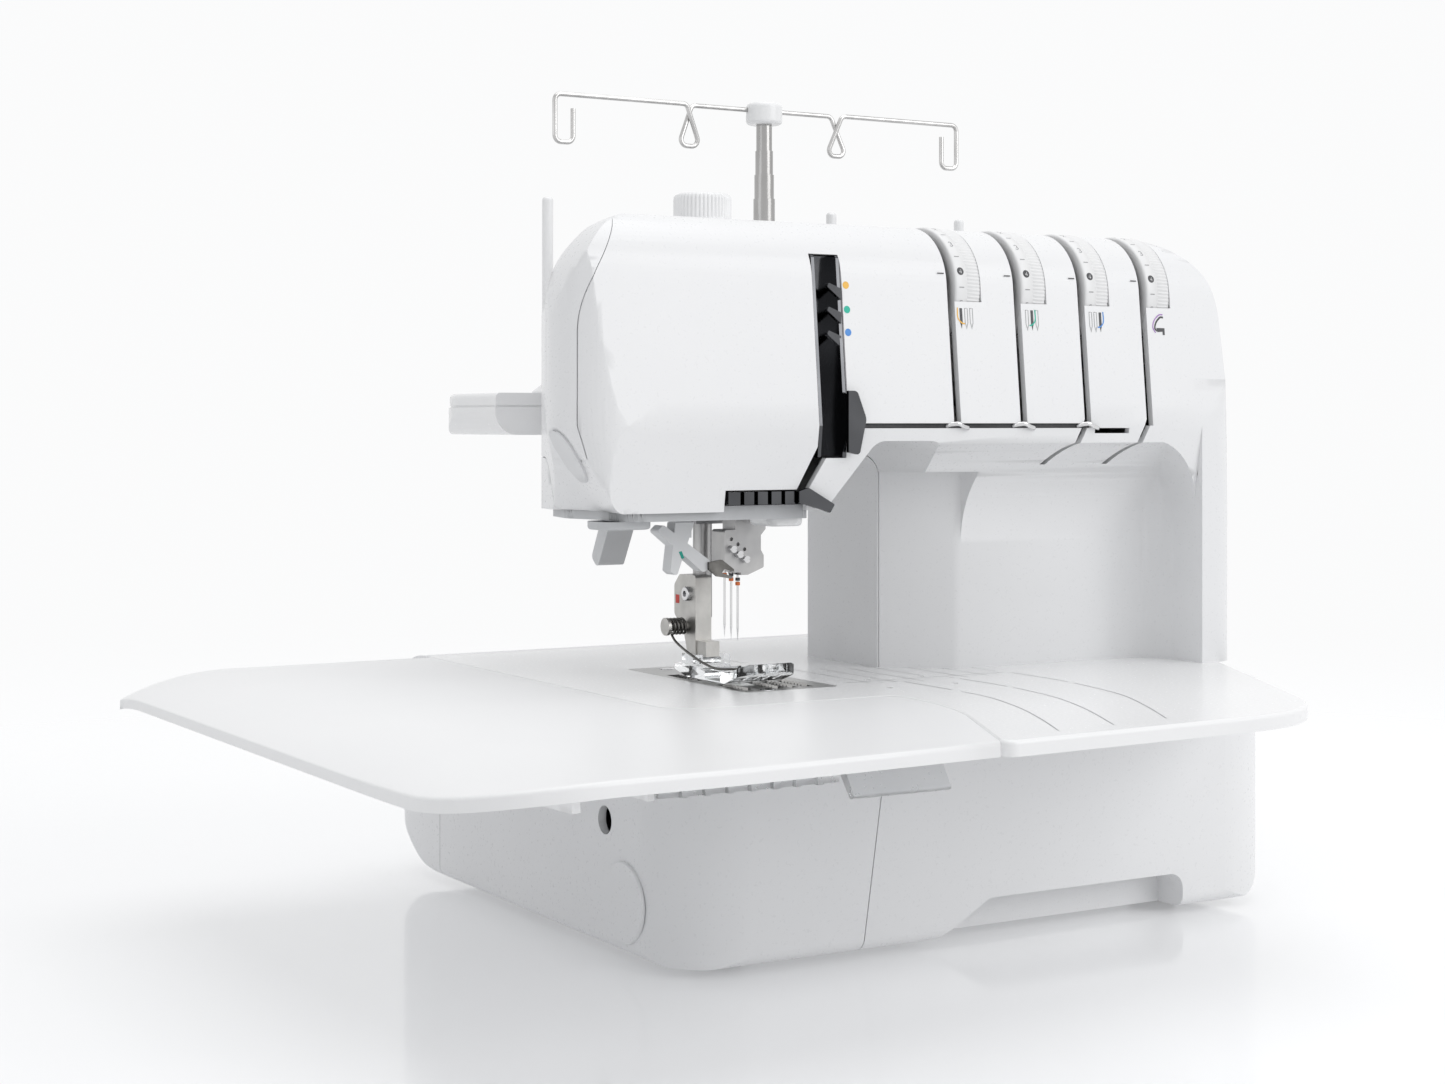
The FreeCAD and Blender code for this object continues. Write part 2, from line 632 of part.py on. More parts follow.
# Middle of the whole's footprint: table's left lip to handwheel, table's front to tub's back
MIDDLE_X = "((base_right + wheel_gap + wheel_thick) - table_left) / 2"
SLANT = "((table_front - wing_front) / (table_left - wing_tip))"
FRONT = f"(table_front - table_corner_front * ({SLANT} + sqrt(1 + {SLANT} ^ 2) - 1))"
MIDDLE_Y = f"(base_back - {FRONT}) / 2"

# Axis of the table's latch
LATCH_Y = "(latch_deep - latch_front - 2.5)"
LATCH_Z = "(bed_height - table_thick - 5)"


# Base: tub, looper cover, bed, table

def tub_form(label, inset):
    """Tub's outer form, or its hollow when every wall moves in by the inset."""
    left, right = f"-base_left + {inset}", f"base_right - {inset}"
    front, back = f"-base_front + {inset}", f"base_back - {inset}"
    low, high = f"foot_height + {inset}", f"bed_height - {inset}"
    plan = prism(label + "_plan", "XY", [
        (left, front, f"base_corner_left - {inset}"), (right, front, f"base_corner_right - {inset}"),
        (right, back, f"base_corner_back - {inset}"), (left, back, f"base_corner_back - {inset}"),
    ], low, high)
    face = prism(label + "_face", "XZ", [
        (left, low, f"base_edge - {inset}"), (right, low, f"base_turn_right - {inset}"),
        (right, high), (left, high),
    ], front, back)
    side = prism(label + "_side", "YZ", [
        (front, low, f"base_edge - {inset}"), (back, low, f"base_turn_back - {inset}"),
        (back, high, f"deck_turn - {inset}"), (front, high),
    ], left, right)
    return shared(label, plan, face, side)


def grip_form(label, grow):
    """Finger recess in the foot of the front wall, or the same with walls round it."""
    return prism(label, "XZ", [
        (f"grip_left - {grow}", "0"), (f"grip_right + {grow}", "0"),
        (f"grip_right + {grow}", f"grip_height + {grow}", f"grip_turn + {grow}"),
        (f"grip_left + grip_slope - {grow}", f"grip_height + {grow}", f"grip_turn + {grow}"),
    ], f"-base_front - {BEYOND}", f"-base_front + grip_depth + {grow}")


def cover_zone(label, grow):
    """Space of the looper cover: left of the front seam and round the left wall, not the tub's floor."""
    lap = f"cover_lap + {grow}"
    zone = prism(label + "_zone", "XZ", [
        (f"-base_left - {BEYOND}", "0"), (f"cover_seam_foot + {grow}", "0"),
        (f"cover_seam_top + {grow}", "bed_height"), (f"-base_left - {BEYOND}", "bed_height"),
    ], f"-base_front - {BEYOND}", f"cover_back + {grow}")
    floor = prism(label + "_floor", "XY", [
        (f"-base_left + {lap}", f"-base_front + {lap}", "base_corner_left - cover_lap"),
        (f"base_right", f"-base_front + {lap}"), ("base_right", "base_back"),
        (f"-base_left + {lap}", "base_back"),
    ], "0", "foot_height + base_wall + cover_lap")
    return cut(label, zone, floor)


def make_base():
    """Tub with its finger recess, parted into the fixed shell and the looper cover that slides off."""
    outer = tub_form("tub_outer", "0")
    hollow = cut("tub_hollow", tub_form("tub_inside", "base_wall"), grip_form("grip_walls", "base_wall"))
    open_top = block("tub_open_top", (f"-base_left - {BEYOND}", f"base_right + {BEYOND}"),
                     (f"-base_front - {BEYOND}", "bed_back"),
                     ("bed_height - bed_thick", f"bed_height + {BEYOND}"))
    shell = cut("tub", outer, hollow, grip_form("grip", "0"), open_top)
    shaft_hole = rod("tub_shaft_hole", "shaft_radius + 1", "4 * base_wall",
                     "base_right - 2 * base_wall", "shaft_back", "shaft_height", "X")
    switch_hole = block("tub_switch_hole", ("base_right - switch_deep - 3.8", "base_right + base_wall"),
                        ("switch_back - switch_long / 2", "switch_back + switch_long / 2"),
                        ("switch_low", "switch_low + switch_high"))
    socket = block("inlet_socket", ("base_right - inlet_deep", "base_right + base_wall"),
                   ("inlet_back - inlet_long / 2", "inlet_back + inlet_long / 2"),
                   ("switch_low", "switch_low + inlet_high"))
    socket_walls = block("inlet_walls", ("base_right - inlet_deep - base_wall / 2",
                                         "base_right - base_wall / 2"),
                         ("inlet_back - inlet_long / 2 - base_wall / 2",
                          "inlet_back + inlet_long / 2 + base_wall / 2"),
                         ("switch_low - base_wall / 2", "switch_low + inlet_high + base_wall / 2"))
    fixed = cut("tub_fixed", shell, cover_zone("cover_space", "seam_gap"), shaft_hole)
    switch_walls = block("switch_walls", ("base_right - switch_deep - 5", "base_right - base_wall / 2"),
                         ("switch_back - switch_long / 2 - 2", "switch_back + switch_long / 2 + 2"),
                         ("switch_low - 2", "switch_low + switch_high + 2"))
    pivot = rod("switch_bearing", "switch_pin + running_gap", "switch_high + 10",
                "base_right - switch_deep",
                "switch_back", "switch_low - 5")
    walled = joined("tub_walled", fixed, socket_walls, switch_walls)
    pins = [rod(f"inlet_pin_{side}", "1.2", "inlet_deep - base_wall",
                "base_right - inlet_deep - base_wall / 4",
                f"inlet_back + {side} * inlet_long / 5", "switch_low + inlet_high / 2",
                "X") for side in (-1, 1)]
    opened = cut("tub_socket", walled, socket, switch_hole, pivot)
    publish(joined("tub_done", opened, *pins), "base_shell")
    whole = shared("cover_blank", shell, cover_zone("cover_whole", "0"))
    top = block("cover_top", (f"-base_left - {BEYOND}", "base_right"),
                (f"-base_front - {BEYOND}", "base_back"),
                ("bed_height - bed_thick - seam_gap", "bed_height"))
    cap_hole = rod("cover_cap_hole", "cap_radius - 2", "4 * base_wall", "-base_left - base_wall",
                   "-cap_front", "cap_height", "X")
    pin_hole = rod("cover_pin_hole", "pin_hole_radius", "4 * base_wall", "-base_left - base_wall",
                   "-pin_hole_front", "pin_hole_height", "X")
    publish(cut("cover_done", whole, top, cap_hole, pin_hole), "looper_cover")
    cap = turned("cap_form", [
        ("0", "0"), ("cap_radius", "0", "cap_lip * 0.6"), ("cap_radius", "cap_lip"),
        ("cap_radius - 2 - seam_gap", "cap_lip"), ("cap_radius - 2 - seam_gap", "cap_lip + base_wall"),
        ("0", "cap_lip + base_wall"),
    ], "-base_left - cap_lip", "-cap_front", "cap_height", "X")
    publish(cap, "access_cap")
    spots = [("-base_left + foot_inset", "-base_front + foot_inset"),
             ("base_right - foot_inset - foot_radius", "-base_front + foot_inset"),
             ("base_right - foot_inset - foot_radius", "foot_back"),
             ("-base_left + foot_inset", "foot_back")]
    feet = [rod(f"foot_{number}", "foot_radius", "foot_height", x, y, "0")
            for number, (x, y) in enumerate(spots, start=1)]
    publish(grouped("feet", feet), "rubber_feet")
    rocker = prism("rocker", "XY", [
        ("base_right - switch_deep - 2", "switch_back - switch_long / 2 + 1.4"),
        ("base_right + 2.6", "switch_back - switch_long / 2 + 1.4"),
        ("base_right + 0.6", "switch_back"), ("base_right + 0.6", "switch_back + switch_long / 2 - 1.4"),
        ("base_right - switch_deep - 2", "switch_back + switch_long / 2 - 1.4"),
    ], "switch_low + seam_gap", "switch_low + switch_high - seam_gap")
    pins = rod("rocker_pins", "switch_pin", "switch_high + 2.4", "base_right - switch_deep",
               "switch_back",
               "switch_low - 1.2")
    publish(joined("rocker_done", rocker, pins), "power_switch")


def bed_corners(grow):
    """Bed and right wing from above; grown, it is the space the table leaves for them."""
    if grow == "0":
        tail = [("-wing_tip", "-wing_front", "4"), ("wing_corner", "-wing_corner_front", "wing_turn"),
                ("base_right", "-wing_join", "wing_join_turn"), ("base_right", "bed_back")]
    else:
        tail = [("-wing_tip - (wing_tip + wing_bend) * 0.2 - 1.12 * " + grow,
                 "-wing_front - (wing_front - wing_bend_front) * 0.2"),
                ("base_right + 60", "-wing_front - 60"), ("base_right + 60", "bed_back")]
    return [
        (f"-base_left - {grow}", "bed_back"),
        (f"-base_left - {grow}", f"-bed_front - {grow}", f"bed_corner + {grow}"),
        (f"wing_seam - {grow}", f"-bed_front - {grow}", f"bed_corner / 3 - {grow}"),
        (f"wing_bend - {grow}", "-wing_bend_front", f"wing_bend_radius - {grow}"),
    ] + tail


def plate_corners(grow):
    """Needle plate from above."""
    return [(f"-plate_left - {grow}", f"-plate_front - {grow}", "3"),
            (f"plate_right + {grow}", f"-plate_front - {grow}", "3"),
            (f"plate_right + {grow}", f"plate_back + {grow}", "3"),
            (f"-plate_left - {grow}", f"plate_back + {grow}", "3")]


def make_bed():
    """Bed plate with its wing, needle plate seat, belt opening and tapped holes for attachments."""
    blank = prism("bed_blank", "XY", bed_corners("0"), "bed_height - bed_thick", "bed_height")
    soft = rounded("bed_soft", blank, "bed_edge",
                   lambda edge: mid(edge).z > value("bed_height") - 0.1 and edge.BoundBox.ZLength < 0.01
                   and mid(edge).y < value("-bed_front") - 30 and mid(edge).x > value("wing_bend") + 6)
    seat = prism("plate_seat", "XY", plate_corners("plate_gap"), "bed_height - plate_thick",
                 "bed_height + 5")
    through = prism("plate_through", "XY", plate_corners("(-plate_ledge)"), "bed_height - 20",
                    "bed_height + 5")
    belt_way = block("belt_way", ("belt_hole_left", "belt_hole_right"),
                     ("belt_hole_front", "belt_hole_back"),
                     ("bed_height - 20", "bed_height + 5"))
    holes = [rod(f"tapped_{number}", "tap_radius", "2 * bed_thick", x, f"-{y}",
                 "bed_height - bed_thick * 1.5")
             for number, (x, y) in enumerate(TAPPED, start=1)]
    screws = [rod(f"plate_tap_{number}", "1.5", "2 * bed_thick", x, y, "bed_height - bed_thick * 1.5")
              for number, (x, y) in enumerate(PLATE_SCREWS, start=1)]
    publish(cut("bed_done", soft, seat, through, belt_way, *holes, *screws), "bed_top")


def make_table():
    """Extension table: flat plate that falls away at its left end, ribbed below, cut to the bed's outline."""
    blank = prism("table_blank", "XY", [
        ("-table_left", "table_back", "table_corner_back"),
        ("-table_left", "-table_front", "table_corner_front"),
        ("-wing_tip", "-wing_front"), ("wing_seam + 20", "-wing_bend_front - 10"),
        ("wing_seam + 20", "table_back"),
    ], "bed_height - 40", "bed_height + 5")
    slope = "sqrt(fall_run ^ 2 + fall_drop ^ 2)"
    fall = prism("table_fall", "XZ", [
        ("wing_seam + 40", "bed_height - table_thick"), ("wing_seam + 40", "bed_height"),
        ("-fall_start", "bed_height", "fall_radius"),
        ("-fall_start - fall_run", "bed_height - fall_drop"),
        (f"-fall_start - fall_run + table_thick * fall_drop / {slope}",
         f"bed_height - fall_drop - table_thick * fall_run / {slope}"),
        (f"-fall_start + table_thick * ({slope} - fall_run) / fall_drop", "bed_height - table_thick",
         "fall_radius - table_thick"),
    ], f"-table_front - {BEYOND}", f"table_back + {BEYOND}")
    room = prism("table_room", "XY", bed_corners("seam_gap"), "bed_height - 40", "bed_height + 5")
    plate = cut("table_plate", shared("table_form", blank, fall), room)
    front = value("-table_front")
    soft = rounded("table_soft", plate, "table_edge",
                   lambda edge: mid(edge).z > value("bed_height") - 0.1 and edge.BoundBox.ZLength < 0.01
                   and (abs(mid(edge).y - front) < 8 or mid(edge).y > value("table_back") - 0.1))
    low = ("bed_height - table_thick - table_rib_depth", "bed_height - table_thick")
    ribs = [block(f"table_rib_{number}", (f"-base_left - {number} * 22",
                                          f"-base_left - {number} * 22 + table_rib"),
                  (front_end, back_end), low)
            for number, front_end, back_end in (
                (1, "-bracket_front + bracket_wide + 4", "-base_front - 5"),
                (2, "-bracket_front + bracket_wide + 4", "-base_front - 5"),
                (3, "-table_front + 24", "table_back - 12"), (4, "-table_front + 24", "table_back - 12"))]
    cross = [block(f"table_cross_{number}", ("-base_left - 88", right), (y, f"{y} + table_rib"), low)
             for number, (y, right) in enumerate((("-wing_front + 24", "-base_left"),
                                                  ("-bed_front - 24", "-base_left"),
                                                  ("0", "-base_left - 64"),
                                                  ("table_back - 40", "-base_left - 64")), start=1)]
    lugs = [block(f"latch_lug_{side}", (x, f"{x} + latch_lug"),
                  (f"{LATCH_Y} - latch_lug", f"{LATCH_Y} + latch_lug"),
                  (f"{LATCH_Z} - latch_lug", low[1]))
            for side, x in ((1, "latch_left - seam_gap - latch_lug"),
                            (2, "latch_left + latch_width + seam_gap"))]
    bearing = rod("latch_bearing", "latch_pin + running_gap", "latch_width + 4 * latch_lug",
                  "latch_left - 2 * latch_lug", LATCH_Y, LATCH_Z, "X")
    publish(cut("table_done", joined("table_whole", soft, *ribs, *cross, *lugs), bearing),
            "extension_table")


def make_table_fittings():
    """Clear ribbed bracket under the table and the clear latch beside it."""
    low, high = "bed_height - table_thick - bracket_depth", "bed_height - table_thick"
    left, right = "-bracket_left", "-bracket_left + bracket_long"
    front, back = "-bracket_front", "-bracket_front + bracket_wide"
    wall = block("bracket_wall", (left, right), (front, f"{front} + clear_wall"), (low, high))
    rear = block("bracket_rear", (left, right), (f"{back} - clear_wall", back), (low, high))
    floor = block("bracket_floor", (left, right), (front, back), (low, f"{low} + clear_wall"))
    ribs = [block(f"bracket_rib_{number}", (f"{left} + {number} * bracket_long / 8 - clear_wall / 2",
                                            f"{left} + {number} * bracket_long / 8 + clear_wall / 2"),
                  (f"{front} - clear_wall", back), (low, high)) for number in range(1, 8)]
    publish(joined("bracket_done", wall, rear, floor, *ribs), "table_bracket")
    top = "bed_height - table_thick - seam_gap"
    latch = prism("latch_blank", "YZ", [
        ("-latch_front + latch_deep", top, "2"), ("-latch_front + 9", top, "6"),
        ("-latch_front", f"{top} - latch_drop", "0.8"),
        ("-latch_front + 2.4", f"{top} - latch_drop - 1", "0.8"),
        ("-latch_front + 11", f"{top} - 3.2", "3"),
        ("-latch_front + latch_deep - 7", f"{top} - 3.2", "2"),
        ("-latch_front + latch_deep - 5", f"{top} - 7", "2"),
        ("-latch_front + latch_deep", f"{top} - 7", "2"),
    ], "latch_left", "latch_left + latch_width")
    pins = rod("latch_pins", "latch_pin", "latch_width + 2 * latch_lug", "latch_left - latch_lug",
               LATCH_Y, LATCH_Z, "X")
    publish(joined("latch_done", latch, pins), "table_latch")


def make_needle_plate():
    """Needle plate with needle and feed slots, its two screws, and the two feed dogs."""
    blank = prism("plate_blank", "XY", plate_corners("0"), "bed_height - plate_thick", "bed_height")
    tall = ("bed_height - 20", "bed_height + 5")
    tools = [block("needle_slot", ("-needle_pitch - 2.2", "needle_pitch + 2.2"), ("-1.9", "1.9"), tall)]
    for number, row in enumerate(ROWS, start=1):
        sides = (f"{row} - feed_slot_width / 2", f"{row} + feed_slot_width / 2")
        tools.append(block(f"front_slot_{number}", sides,
                           ("-feed_slot_start - feed_slot_long", "-feed_slot_start"), tall))
        tools.append(block(f"rear_slot_{number}", sides,
                           ("feed_slot_start", "feed_slot_start + feed_slot_long"), tall))
    for number, (x, y) in enumerate(PLATE_SCREWS, start=1):
        tools.append(rod(f"plate_hole_{number}", "1.7", "40", x, y, "bed_height - 20"))
        tools.append(rod(f"plate_sink_{number}", "3.2", "40", x, y, "bed_height - 1"))
    publish(cut("plate_done", blank, *tools), "needle_plate")
    screws = []
    for number, (x, y) in enumerate(PLATE_SCREWS, start=1):
        form = turned(f"plate_screw_{number}_form", [
            ("0", "-4"), ("1.4", "-4"), ("1.4", "1"), ("2.9", "1"), ("2.9", "2.2", "0.6"), ("0", "2.2"),
        ], x, y, "bed_height - 2")
        slot = block(f"plate_screw_{number}_slot", (f"({x}) - 4", f"({x}) + 4"),
                     (f"({y}) - 0.4", f"({y}) + 0.4"),
                     ("bed_height - 0.5", "bed_height + 2"))
        screws.append(cut(f"plate_screw_{number}", form, slot))
    publish(grouped("plate_screw_pair", screws), "plate_screws")
    for name, side in (("front", "-1"), ("rear", "1")):
        reach = "feed_slot_long - 2 * feed_play"
        near = "feed_slot_start + feed_play"
        ends = (f"-({near} + {reach})", f"-({near})") if side == "-1" else (near, f"{near} + {reach}")
        count = int(round(value(reach) / value("tooth_pitch")))
        bars = []
        for number, row in enumerate(ROWS, start=1):
            corners = [(ends[1], "bed_height - 9"), (ends[1], "bed_height - 1.2")]
            for tooth in range(count, 0, -1):
                corners.append((f"{ends[0]} + ({reach}) * {tooth - 0.75} / {count}",
                                "bed_height + feed_rise"))
                corners.append((f"{ends[0]} + ({reach}) * {tooth - 1} / {count}", "bed_height - 1.2"))
            corners.append((ends[0], "bed_height - 9"))
            bars.append(prism(f"{name}_bar_{number}", "YZ", corners,
                              f"{row} - feed_slot_width / 2 + feed_gap",
                              f"{row} + feed_slot_width / 2 - feed_gap"))
        carrier = block(f"{name}_carrier", (f"{ROWS[0]} - feed_slot_width / 2 + feed_gap",
                                            f"{ROWS[-1]} + feed_slot_width / 2 - feed_gap"),
                        (f"({ends[0]}) + 4", f"({ends[1]}) - 4"), ("bed_height - 14", "bed_height - 8"))
        publish(joined(f"{name}_dog", carrier, *bars), f"{name}_feed_dog")


def make_looper():
    """Looper: blade on a hub and its shaft, which runs from front to back."""
    x, z = "looper_place", "looper_height"
    blade = prism("looper_blade", "XZ", [
        (f"{x} - 6", f"{z} - 6", "4"), (f"{x} + 6", f"{z} - 6", "4"), (f"{x} + 6.5", f"{z} + 24", "4"),
        (f"{x} + 1", f"{z} + 33", "3"), (f"{x} - 26", f"{z} + 30.6"), (f"{x} - 25", f"{z} + 29.6"),
        (f"{x} - 4", f"{z} + 28", "3"), (f"{x} - 1", f"{z} + 20", "3"),
    ], "1.2", "3.4")
    hub = rod("looper_hub", "looper_radius + 2.5", "6", x, "3", z, "Y")
    shaft = rod("looper_shaft", "looper_radius", "32", x, "6", z, "Y")
    publish(joined("looper_done", blade, hub, shaft), "looper")


# Arm: three covers parted from one hollow form

def arm_form(label, inset):
    """Arm, head and column as one form; inset, it is their hollow, open at the head's and the column's foot."""
    w = f"({inset})"
    solid = inset in ("0", "-1.2")
    drop = "arm_break - head_bottom"
    foot = "bed_height" if solid else "bed_height - 10"
    run = "(throat_left - head_low_right) / (throat_top - head_bottom)"
    if solid:
        low = [(f"-head_left + head_taper + {w}", f"head_bottom + {w}", f"7 - {w}"),
               (f"head_low_right - {w}", f"head_bottom + {w}", f"5 - {w}")]
    else:
        low = [(f"-head_left + head_taper * 1.45 + {w} * 1.1", f"head_bottom - ({drop}) * 0.45"),
               (f"head_low_right - ({drop}) * 0.45 * {run} - {w} * 1.29",
                f"head_bottom - ({drop}) * 0.45")]
    face = prism(label + "_face", "XZ", low + [
        (f"throat_left - {w} * 0.47", f"throat_top + {w}", f"8 + {w}"),
        (f"column_left + {w}", f"throat_top + {w}", f"throat_turn + {w}"),
        (f"column_left + {w}", foot), (f"base_right - {w}", foot),
        (f"column_right_top - {w}", f"arm_top - {w}", f"arm_turn_right - {w}"),
        (f"-head_left + {w}", f"arm_top - {w}", f"head_turn - {w}"),
        (f"-head_left + {w}", "arm_break", f"6 - {w}"),
    ], "-arm_front - 20", "arm_back + 20")
    side = prism(label + "_side", "YZ", [
        (f"-arm_front + {w}", "bed_height - 20"), (f"arm_back - {w}", "bed_height - 20"),
        (f"arm_back - {w}", f"arm_top - {w}", f"arm_turn_back - {w}"),
        (f"-arm_front + arm_lean + {w}", f"arm_top - {w}", f"arm_turn_front - {w}"),
        (f"-arm_front + {w}", "arm_break"),
    ], "-head_left - 20", "base_right + 20")
    plan = prism(label + "_plan", "XY", [
        (f"-head_point + {w} * (end_slope + end_lean)", f"-arm_front + {w}", f"head_corner - {w}"),
        (f"base_right - {w}", f"-arm_front + {w}", f"column_corner - {w}"),
        (f"base_right - {w}", f"arm_back - {w}", f"20 - {w}"),
        (f"-head_back + {w} * (end_slope - end_lean)", f"arm_back - {w}", f"head_corner - {w}"),
    ], "bed_height - 20", "arm_top + 20")
    tuck = prism(label + "_tuck", "YZ", [
        (f"-arm_front - {BEYOND}", "arm_break"), (f"-arm_front + {w}", "arm_break"),
        (f"-arm_front + head_tuck * 1.45 + {w}", f"head_bottom - ({drop}) * 0.45"),
        (f"-arm_front - {BEYOND}", f"head_bottom - ({drop}) * 0.45"),
    ], "-head_left - 20", "recess_right")
    hollow_face = prism(label + "_recess_face", "XZ", [
        ("throat_left", "bed_height - 20"), (f"recess_right + {w}", "bed_height - 20"),
        (f"recess_right + {w}", f"throat_top + {w}", f"recess_turn + {w}"),
        ("throat_left", f"throat_top + {w}"),
    ], "-arm_front - 20", "arm_back")
    hollow_side = prism(label + "_recess_side", "YZ", [
        (f"-arm_front - {BEYOND}", "bed_height - 20"), (f"-column_face + {w}", "bed_height - 20"),
        (f"-column_face + {w}", f"throat_top + {w}", f"recess_sweep + {w}"),
        (f"-arm_front - {BEYOND}", f"throat_top + {w}"),
    ], "throat_left", "recess_right + 20")
    hollow_plan = prism(label + "_recess_plan", "XY", [
        ("throat_left", f"-arm_front - {BEYOND}"), (f"recess_right + {w}", f"-arm_front - {BEYOND}"),
        (f"recess_right + {w}", f"-column_face + {w}", f"recess_corner + {w}"),
        ("throat_left", f"-column_face + {w}"),
    ], "bed_height - 20", "throat_top + 20")
    recess = shared(label + "_recess", hollow_face, hollow_side, hollow_plan)
    slant = prism(label + "_slant", "XY", [
        (f"column_left - 20", f"-column_face - 20"),
        (f"column_left + column_slant + {w} * 0.35 + 1", f"-column_face - 20"),
        (f"column_left + column_slant + {w} * 0.35", f"-column_face + {w}"),
        (f"column_left + {w}", f"rear_seam_low + {w} * 0.48"),
        (f"column_left - 20", f"rear_seam_low + {w} * 0.48"),
    ], "bed_height - 20", f"throat_top - throat_turn + {w}")
    return cut(label, shared(label + "_blank", face, side, plan), tuck, recess, slant)


def side_zone(label, grow):
    """Space of the side cover: left of its seam."""
    return prism(label, "XZ", [
        (f"-head_left - {BEYOND}", "head_bottom - 20"),
        (f"-side_seam + 3.8 + {grow}", "head_bottom - 20"),
        (f"-side_seam + {grow}", "arm_break"), (f"-side_seam + {grow}", "side_seam_turn", f"40 - {grow}"),
        (f"-side_seam_top + {grow}", "arm_top + 17"), (f"-head_left - {BEYOND}", "arm_top + 17"),
    ], "-arm_front - 20", "arm_back + 20")


def rear_zone(label, grow):
    """Space of the rear cover: behind its seam, which steps back above the column."""
    return prism(label, "YZ", [
        (f"rear_seam_low - {grow}", "bed_height - 20"), (f"arm_back + {BEYOND}", "bed_height - 20"),
        (f"arm_back + {BEYOND}", f"arm_top + {BEYOND}"),
        (f"rear_seam_high - {grow}", f"arm_top + {BEYOND}"),
        (f"rear_seam_high - {grow}", f"rear_seam_step + {grow}", "8"),
        (f"rear_seam_low - {grow}", f"rear_seam_step + {grow}", "8"),
    ], "-head_left - 20", "base_right + 20")


def channel(number):
    """Place of a tension channel, counted from 0."""
    return f"(channel_first + {number} * channel_pitch)"


def make_arm():
    """Front, side and rear cover, with the front cover's slots and dial windows."""
    shell = cut("arm_shell", arm_form("arm_outer", "0"), arm_form("arm_hollow", "shell_wall"))
    deep = ("-arm_front - 20", "-arm_front + 12")
    tools = [
        side_zone("front_side_space", "seam_gap"), rear_zone("front_rear_space", "seam_gap"),
        block("take_up_slot", ("take_left", "take_right"), deep, ("take_low", "take_high")),
        prism("thread_gap", "XZ", [
            ("take_left", "take_low + 4"), ("take_left - 12", "head_bottom - 2"),
            ("take_left - 8", "head_bottom - 2"),
            ("take_left + 4", "take_low"), ("take_left + 4", "take_low + 4"),
        ], "-arm_front - 20", "-arm_front + 13"),
        block("guide_notch", ("-guide_left", "guide_right"), deep, ("head_bottom - 5", "guide_high")),
        block("thread_slot", ("thread_slot_left", "thread_slot_right"), deep,
              ("arm_break - thread_slot_high / 2", "arm_break + thread_slot_high / 2")),
        block("lower_slot", ("thread_slot_right + 2", "thread_slot_right + 19"), deep,
              ("arm_break - 2.9", "arm_break - 0.9")),
        rod("knob_hole", "knob_stem + seam_gap", "40", "0", "presser_back", "arm_top - 20"),
    ]
    for number in range(4):
        x = channel(number)
        tools.append(block(f"channel_{number + 1}",
                           (f"{x} - channel_width / 2", f"{x} + channel_width / 2"),
                           ("-arm_front - 20", "-dial_back + 5"), ("arm_break", "arm_top + 10")))
        tools.append(rod(f"window_{number + 1}", "dial_radius + dial_gap",
                         "dial_offset + dial_width + dial_gap",
                         x, "-dial_back", "dial_high", "X"))
    for number in (2, 3):
        x = channel(number)
        tools.append(prism(f"sweep_slot_{number + 1}", "XZ", [
            (f"{x} - 1.4", "arm_break + 3"), (f"{x} - 9.4", "arm_break - 15"),
            (f"{x} - 6.8", "arm_break - 15"),
            (f"{x} + 1.4", "arm_break + 3"),
        ], "-arm_front - 20", "-column_face"))
    publish(cut("front_done", shell, *tools), "front_cover")
    publish(shared("side_done", shell, side_zone("side_whole", "0")), "side_cover")
    lifter_way = block("lifter_way", ("-lifter_left - 2", "-lifter_right + 2"),
                       ("arm_back - 8", "arm_back + 8"),
                       ("head_bottom - 20", "lifter_high + 9"))
    rear = shared("rear_blank", shell, rear_zone("rear_whole", "0"))
    publish(cut("rear_done", rear, side_zone("rear_side_space", "seam_gap"), lifter_way), "rear_cover")
    oval = prism("cutter_oval", "YZ", [
        ("-25", "head_bottom + 10.5", "7"), ("-9", "head_bottom + 10.5", "7"),
        ("-9", "head_bottom + 28.5", "7"), ("-25", "head_bottom + 28.5", "7"),
    ], "-head_left - 20", "-side_seam + 8")
    skin = shared("cutter_skin", oval, arm_form("arm_grown", "-1.2"))
    publish(cut("cutter_done", skin, arm_form("arm_again", "0")), "thread_cutter")


# Tension: four dials, their spindles and discs

def make_tension():
    """Dials that show through the front cover's windows, on spindles that carry the thread discs."""
    sets = []
    for number in range(4):
        x = channel(number)
        dial = turned(f"dial_{number + 1}_form", [
            ("spindle_radius + running_gap", "0.8"), ("dial_radius - 5", "0.8"), ("dial_radius - 4", "0"),
            ("dial_radius", "0", "0.8"), ("dial_radius", "dial_width", "0.8"),
            ("dial_radius - 3", "dial_width"),
            ("dial_radius - 4", "dial_width - 2"), ("spindle_radius + 5", "dial_width - 2"),
            ("spindle_radius + 4", "dial_width"), ("spindle_radius + running_gap", "dial_width"),
        ], f"{x} + dial_offset", "-dial_back", "dial_high", "X")
        publish(dial, f"tension_dial_{number + 1}")
        end = "dial_offset + dial_width + 1 + tab_thick + 5"
        sets.append(turned(f"discs_{number + 1}", [
            ("0", "0"), ("spindle_radius", "0", "0.8"), ("spindle_radius", "3.4"),
            ("disc_radius", "3", "0.2"),
            ("disc_radius", "3.6", "0.2"), ("spindle_radius", "4.5"), ("spindle_radius", "5.5"),
            ("disc_radius", "6.4", "0.2"), ("disc_radius", "7", "0.2"), ("spindle_radius", "6.6"),
            ("spindle_radius", end), ("0", end),
        ], f"{x} - 5", "-dial_back", "dial_high", "X"))
    publish(grouped("disc_sets", sets), "tension_discs")


